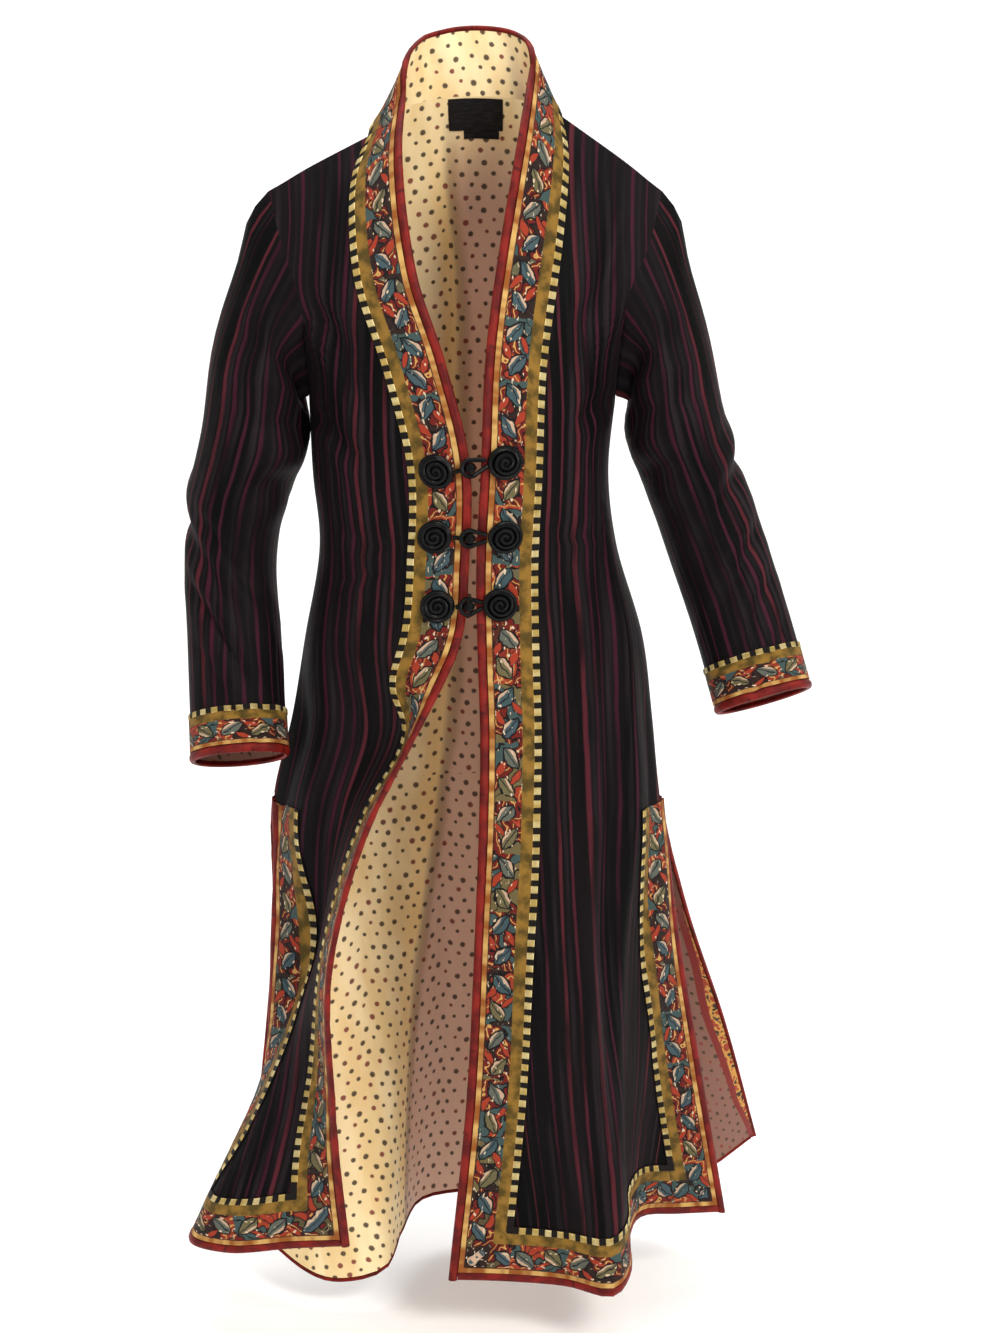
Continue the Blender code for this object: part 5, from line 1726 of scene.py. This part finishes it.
def square_row(name, grid, outward, lines=TRIM_LINES, edges=DENTIL_EDGES):
    """Pads along a grid whose columns are ordered from the edge."""
    dentils(name, *[across_trim(grid, edge, lines) for edge in edges], outward)


print("a pad has", PAD_POINTS, "points and", len(PAD_FACES), "faces")

# %% [markdown]
# The rows stop at the corners of the hem, where the bands are mitred. On a cuff the row goes all the way
# round, and its band is narrower, so the distances from the edge shrink with it.

# %% Sew the squares on
last_line = -BAND_LINE - 1
down_edge = slice(None, -BAND_LINE)
down_slit = slice(SLIT_ROW + 1, -BAND_LINE)
for name, front in fronts.items():
    out = front_out[name]
    square_row("front_" + name, front[down_edge], out[down_edge, BAND_LINE])
    square_row("slit_front_" + name, front[down_slit, ::-1], out[down_slit, 1 - BAND_LINE])
    low = front[::-1, inside].transpose(1, 0, 2)
    square_row("hem_front_" + name, low, out[last_line, BAND_LINE:1 - BAND_LINE])
square_row("slit_back_left", back[down_slit], back_out[down_slit, BAND_LINE])
square_row("slit_back_right", back[down_slit, ::-1], back_out[down_slit, last_line])
square_row("hem_back", back[::-1, inside].transpose(1, 0, 2), back_out[last_line, inside])
square_row("collar", collar.transpose(1, 0, 2), collar_out[-1])

cuff_edges = [BINDING_WIDTH + (edge - BINDING_WIDTH) / CUFF_STRETCH for edge in DENTIL_EDGES]
for name, sleeve in sleeves.items():
    around_cuff = sleeve[-len(CUFF_LINES):][::-1].transpose(1, 0, 2)
    around_cuff = np.concatenate((around_cuff, around_cuff[:1]))
    out = sleeve_out[name][-len(CUFF_LINES)]
    square_row("cuff_" + name, around_cuff, np.concatenate((out, out[:1])), CUFF_LINES, cuff_edges)
print("pale squares", sum(len(piece.data.vertices) // PAD_POINTS for piece in squares.values()))

# %% [markdown]
# Each frog has two rosettes of coiled cord, a ball knot on a short stem and a loop that slips over it. They
# are placed by height and by distance in from the front edge, because that is how a maker would mark them.

# %% Frog sizes and places on the fronts
Frog = namedtuple("Frog", "left_z right_z left_in right_in")
FROGS = [
    Frog(-0.327, -0.318, 0.034, 0.024),
    Frog(-0.394, -0.394, 0.036, 0.028),
    Frog(-0.467, -0.465, 0.030, 0.024),
]
ROSETTE_RADIUS = 0.0175
CORD_LIFT = 0.0040
CORD_GAP = 0.0007
CORD_SIDES = 10
FIRST_ASIDE = (0.3, 0.5, 0.8)


def surface_frame(name, place):
    """Point and outward direction of a front at a height and a distance in from its edge."""
    grid, outward = fronts[name], front_out[name]
    z, distance = place
    lines = []
    for row in range(UNDERARM_ROW, SLIT_ROW + 1):
        reach = np.interp(distance, lengths(grid[row, :-1]), np.arange(FRONT_SIDE + 1))
        column = int(reach)
        blend = reach - column
        point = (1 - blend) * grid[row, column] + blend * grid[row, column + 1]
        out = (1 - blend) * outward[row, column] + blend * outward[row, column + 1]
        lines.append(np.concatenate((point, out)))
    lines = np.array(lines)[::-1]
    found = read(lines[:, 2], lines, z)
    return found[:3], unit(found[3:])


def tube(path, radius, closed=False):
    """Round outlines along a path of points, kept from twisting."""
    heading = np.gradient(path, axis=0)
    if closed:
        heading = np.roll(path, -1, axis=0) - np.roll(path, 1, axis=0)
    heading = unit(heading)
    aside = np.cross(heading[0], FIRST_ASIDE)
    turns = np.linspace(0, 2 * pi, CORD_SIDES + 1)[:-1]
    outlines = []
    for point, direction in zip(path, heading):
        aside = unit(aside - np.dot(aside, direction) * direction)
        up = np.cross(direction, aside)
        ring = np.cos(turns)[:, None] * aside + np.sin(turns)[:, None] * up
        outlines.append(point + radius * ring)
    return np.array(outlines)


def join(name, parts):
    """One object from several, with the cord finish on all of them."""
    with bpy.context.temp_override(active_object=parts[0], selected_editable_objects=parts):
        bpy.ops.object.join()
    parts[0].name = name
    return parts[0]


print("frogs", len(FROGS))

# %% [markdown]
# A rosette is cord coiled flat and sewn down. Here it is a spiral tube that ends in one full turn at the
# rim, on a low dome that fills the gaps between the turns.

# %% Coil the rosettes
ROSETTE_SPIRAL = 2.7
ROSETTE_EYE = 0.10
ROSETTE_STEPS = 110
ROSETTE_CORD = 0.0024
ROSETTE_BASE = 0.0024
ROSETTE_DOME = 0.0042
DOME_SIDES = 24
DomeRing = namedtuple("DomeRing", "share height")
DOME_RINGS = [
    DomeRing(0.90, 0.0004),
    DomeRing(0.94, 0.0024),
    DomeRing(0.70, 0.0044),
    DomeRing(0.40, 0.0060),
    DomeRing(0.08, 0.0066),
]


def rosette(name, side, z, distance):
    """Spiral of cord on a low dome that follows the band under it."""
    reach = ROSETTE_RADIUS - ROSETTE_CORD

    def spot(radius, turn, height):
        point, out = surface_frame(side, (z + radius * sin(turn), distance + radius * cos(turn)))
        return point + (BAND_TOP + SEAM + height) * out

    path = []
    for share_in in np.linspace(0, 1, ROSETTE_STEPS):
        turns = (ROSETTE_SPIRAL + 1) * share_in
        radius = reach * min(1.0, ROSETTE_EYE + (1 - ROSETTE_EYE) * turns / ROSETTE_SPIRAL)
        height = ROSETTE_BASE + ROSETTE_DOME * (1 - (radius / ROSETTE_RADIUS) ** 2)
        path.append(spot(radius, 2 * pi * turns, height))
    coil = sweep(name + "_coil", tube(np.array(path), ROSETTE_CORD), (black_cord,))
    turns = np.linspace(0, 2 * pi, DOME_SIDES + 1)[:-1]
    rings = [[spot(ring.share * reach, turn, ring.height) for turn in turns] for ring in DOME_RINGS]
    dome = sweep(name + "_dome", np.array(rings), (black_cord,))
    return join(name + "_coiled", [coil, dome])


for number, frog in enumerate(FROGS, 1):
    for side, z, distance in (("left", frog.left_z, frog.left_in), ("right", frog.right_z, frog.right_in)):
        node = "frog_%d_rosette_%s" % (number, side)
        sew(rosette(node, side, z, distance), node)
print("rosettes", 2 * len(FROGS))

# %% [markdown]
# The ball is a knotted button, so it is built from turns of cord laid round it in two directions. The loop
# goes round the ball, rises a little over its front and runs back to the right rosette with its two arms
# drawn together.

# %% Tie the knots and loops
CORD_RADIUS = 0.0024
STEM_RADIUS = 0.0024
STEM_STEPS = 8
STEM_INTO_KNOT = 0.8
KNOT_RADIUS = 0.0058
KNOT_RISE = 0.0030
WRAP_CORD = 0.24
WRAP_SPREAD = 0.72
WRAP_LEANS = (-52, -18, 18, 52)
WRAP_STEPS = 32
LOOP_RISE = 0.0030
LOOP_STEPS = 21
LOOP_POINTS = 60
LOOP_ARMS = (0.25, 0.50, 0.75, 1.00)
LOOP_NARROWING = 0.62


def knot(name, start, middle, outward):
    """Ball knot wrapped with cord, on its short stem."""
    axis = unit(middle - start)
    up = np.cross(axis, outward)
    reach = np.linalg.norm(middle - start) - STEM_INTO_KNOT * KNOT_RADIUS
    stem_path = start + np.linspace(0, reach, STEM_STEPS)[:, None] * axis
    parts = [sweep(name + "_stem", tube(stem_path, STEM_RADIUS), (black_cord,))]
    wrap_radius = WRAP_CORD * KNOT_RADIUS
    turns = np.linspace(0, 2 * pi, WRAP_STEPS + 1)[:-1]
    for lean in WRAP_LEANS:
        shift = WRAP_SPREAD * KNOT_RADIUS * sin(radians(lean))
        radius = (KNOT_RADIUS - wrap_radius) * cos(radians(lean))
        for first_way, second_way in ((axis, up), (outward, axis)):
            third_way = np.cross(first_way, second_way)
            ring = np.cos(turns)[:, None] * first_way + np.sin(turns)[:, None] * second_way
            path = middle + radius * ring + shift * third_way
            parts.append(sweep(name + "_wrap", tube(path, wrap_radius, True), (black_cord,), True))
    return join(name + "_tied", parts)


def loop(name, middle, end, outward):
    """Cord loop from the right rosette, slipped over the ball and lying on its stem."""
    axis = unit(middle - end)
    up = np.cross(axis, outward)
    reach = np.linalg.norm(middle - end)
    clear = KNOT_RADIUS + CORD_RADIUS + SEAM
    level_axis = unit(axis - np.dot(axis, outward) * outward)
    path = []
    for turn in np.linspace(-90, 90, LOOP_STEPS):
        above = LOOP_RISE * cos(radians(turn)) ** 2
        round_ball = clear * (cos(radians(turn)) * level_axis + sin(radians(turn)) * up)
        path.append(middle + round_ball + above * outward)
    for share_back in LOOP_ARMS:
        arm = clear * (1 - LOOP_NARROWING * share_back)
        path.append(middle - share_back * reach * axis + arm * up)
        path.insert(0, middle - share_back * reach * axis - arm * up)
    return sweep(name + "_cord", tube(curve(path, LOOP_POINTS), CORD_RADIUS), (black_cord,))


rim = ROSETTE_RADIUS + CORD_GAP
for number, frog in enumerate(FROGS, 1):
    left, left_out = surface_frame("left", (frog.left_z, frog.left_in - rim))
    right, right_out = surface_frame("right", (frog.right_z, frog.right_in - rim))
    outward = unit(left_out + right_out)
    stem_start = left + (BAND_TOP + CORD_LIFT) * left_out
    loop_end = right + (BAND_TOP + CORD_LIFT) * right_out
    middle = (stem_start + loop_end) / 2 + KNOT_RISE * outward
    node = "frog_%d_knot" % number
    sew(knot(node, stem_start, middle, outward), node)
    node = "frog_%d_loop" % number
    sew(loop(node, middle, loop_end, outward), node)
print("knots and loops", 2 * len(FROGS))

# %% [markdown]
# A black woven label is sewn under the collar seam, with a small tab below it. It is left bare.

# %% Neck label
LABEL_WIDTH = 0.058
LABEL_DEPTH = 0.034
LABEL_TOP = 0.002
LABEL_SHIFT = 0.003
TAB_WIDTH = 0.038
TAB_DEPTH = 0.009
TAB_SHIFT = 0.009
LABEL_COLUMNS = 13
LABEL_ROWS = 9
label_lines = []
for row in range(UNDERARM_ROW):
    faces = back[row] + (LINING_FACE - SEAM) * back_out[row]
    label_lines.append((faces, lengths(faces)[back_middle], back_out[row]))


def label_patch(node, width, shift, top, bottom):
    """Small cloth patch on the lining."""
    shares = shift + np.linspace(-width / 2, width / 2, LABEL_COLUMNS)
    drops = np.linspace(top, bottom, LABEL_ROWS)
    points, outs = [], []
    for faces, middle, out in label_lines:
        points.append(along(faces, middle + shares))
        outs.append(along(np.concatenate((faces, out), axis=1), middle + shares)[:, 3:])
    columns = []
    for line, out in zip(np.stack(points, axis=1), np.stack(outs, axis=1)):
        columns.append(read(lengths(line), np.concatenate((line, out), axis=1), drops))
    patch = np.stack(columns, axis=1)
    flat = np.stack(np.meshgrid(drops, shares, indexing="ij"), axis=-1)
    piece = wall(node + "_woven", patch[..., :3], unit(patch[..., 3:]), -LABEL, 0.0, flat, (woven_label,))
    return sew(piece, node)


label = label_patch("neck_label", LABEL_WIDTH, LABEL_SHIFT, LABEL_TOP, LABEL_TOP + LABEL_DEPTH)
tab_top = LABEL_TOP + LABEL_DEPTH + SEAM
tab = label_patch("label_tab", TAB_WIDTH, TAB_SHIFT, tab_top, tab_top + TAB_DEPTH)
print("label pieces", 2)

# %% [markdown]
# The size each cloth piece was cut to is listed, so that its area can be compared with a real pattern
# piece, with the pieces it hangs from and the edges whose trims are sewn on it.

Cut = namedtuple("Cut", "width length area hangs_from trims")
CUTS = {
    "back": Cut(0.82, 1.32, 0.617, (), ("slit_back_left", "slit_back_right", "hem_back")),
    "back_lining": Cut(0.82, 1.32, 0.617, ("back_cloth",), ()),
    "front_left": Cut(0.30, 1.33, 0.240, ("back_cloth",),
                      ("front_left", "slit_front_left", "hem_front_left")),
    "front_right": Cut(0.46, 1.33, 0.310, ("back_cloth",),
                       ("front_right", "slit_front_right", "hem_front_right")),
    "sleeve_left": Cut(0.36, 0.62, 0.168, ("back_cloth", "front_cloth_left"), ("cuff_left",)),
    "sleeve_right": Cut(0.36, 0.56, 0.151, ("back_cloth", "front_cloth_right"), ("cuff_right",)),
    "collar": Cut(0.285, 0.078, 0.0155, ("back_cloth",), ("collar",)),
    "collar_lining": Cut(0.285, 0.078, 0.0155, ("collar_cloth",), ()),
}
for name, cut in CUTS.items():
    sewn_on = []
    for edge in cut.trims:
        sewn_on += [trim["band_" + edge], trim["binding_" + edge], squares[edge]]
print("declared sheets", len(CUTS) + 1)

# %% [markdown]
# The box round everything drawn is printed.

# %% Box of everything drawn
low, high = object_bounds()
print("visual box", [round(v, 3) for v in low], [round(v, 3) for v in high])
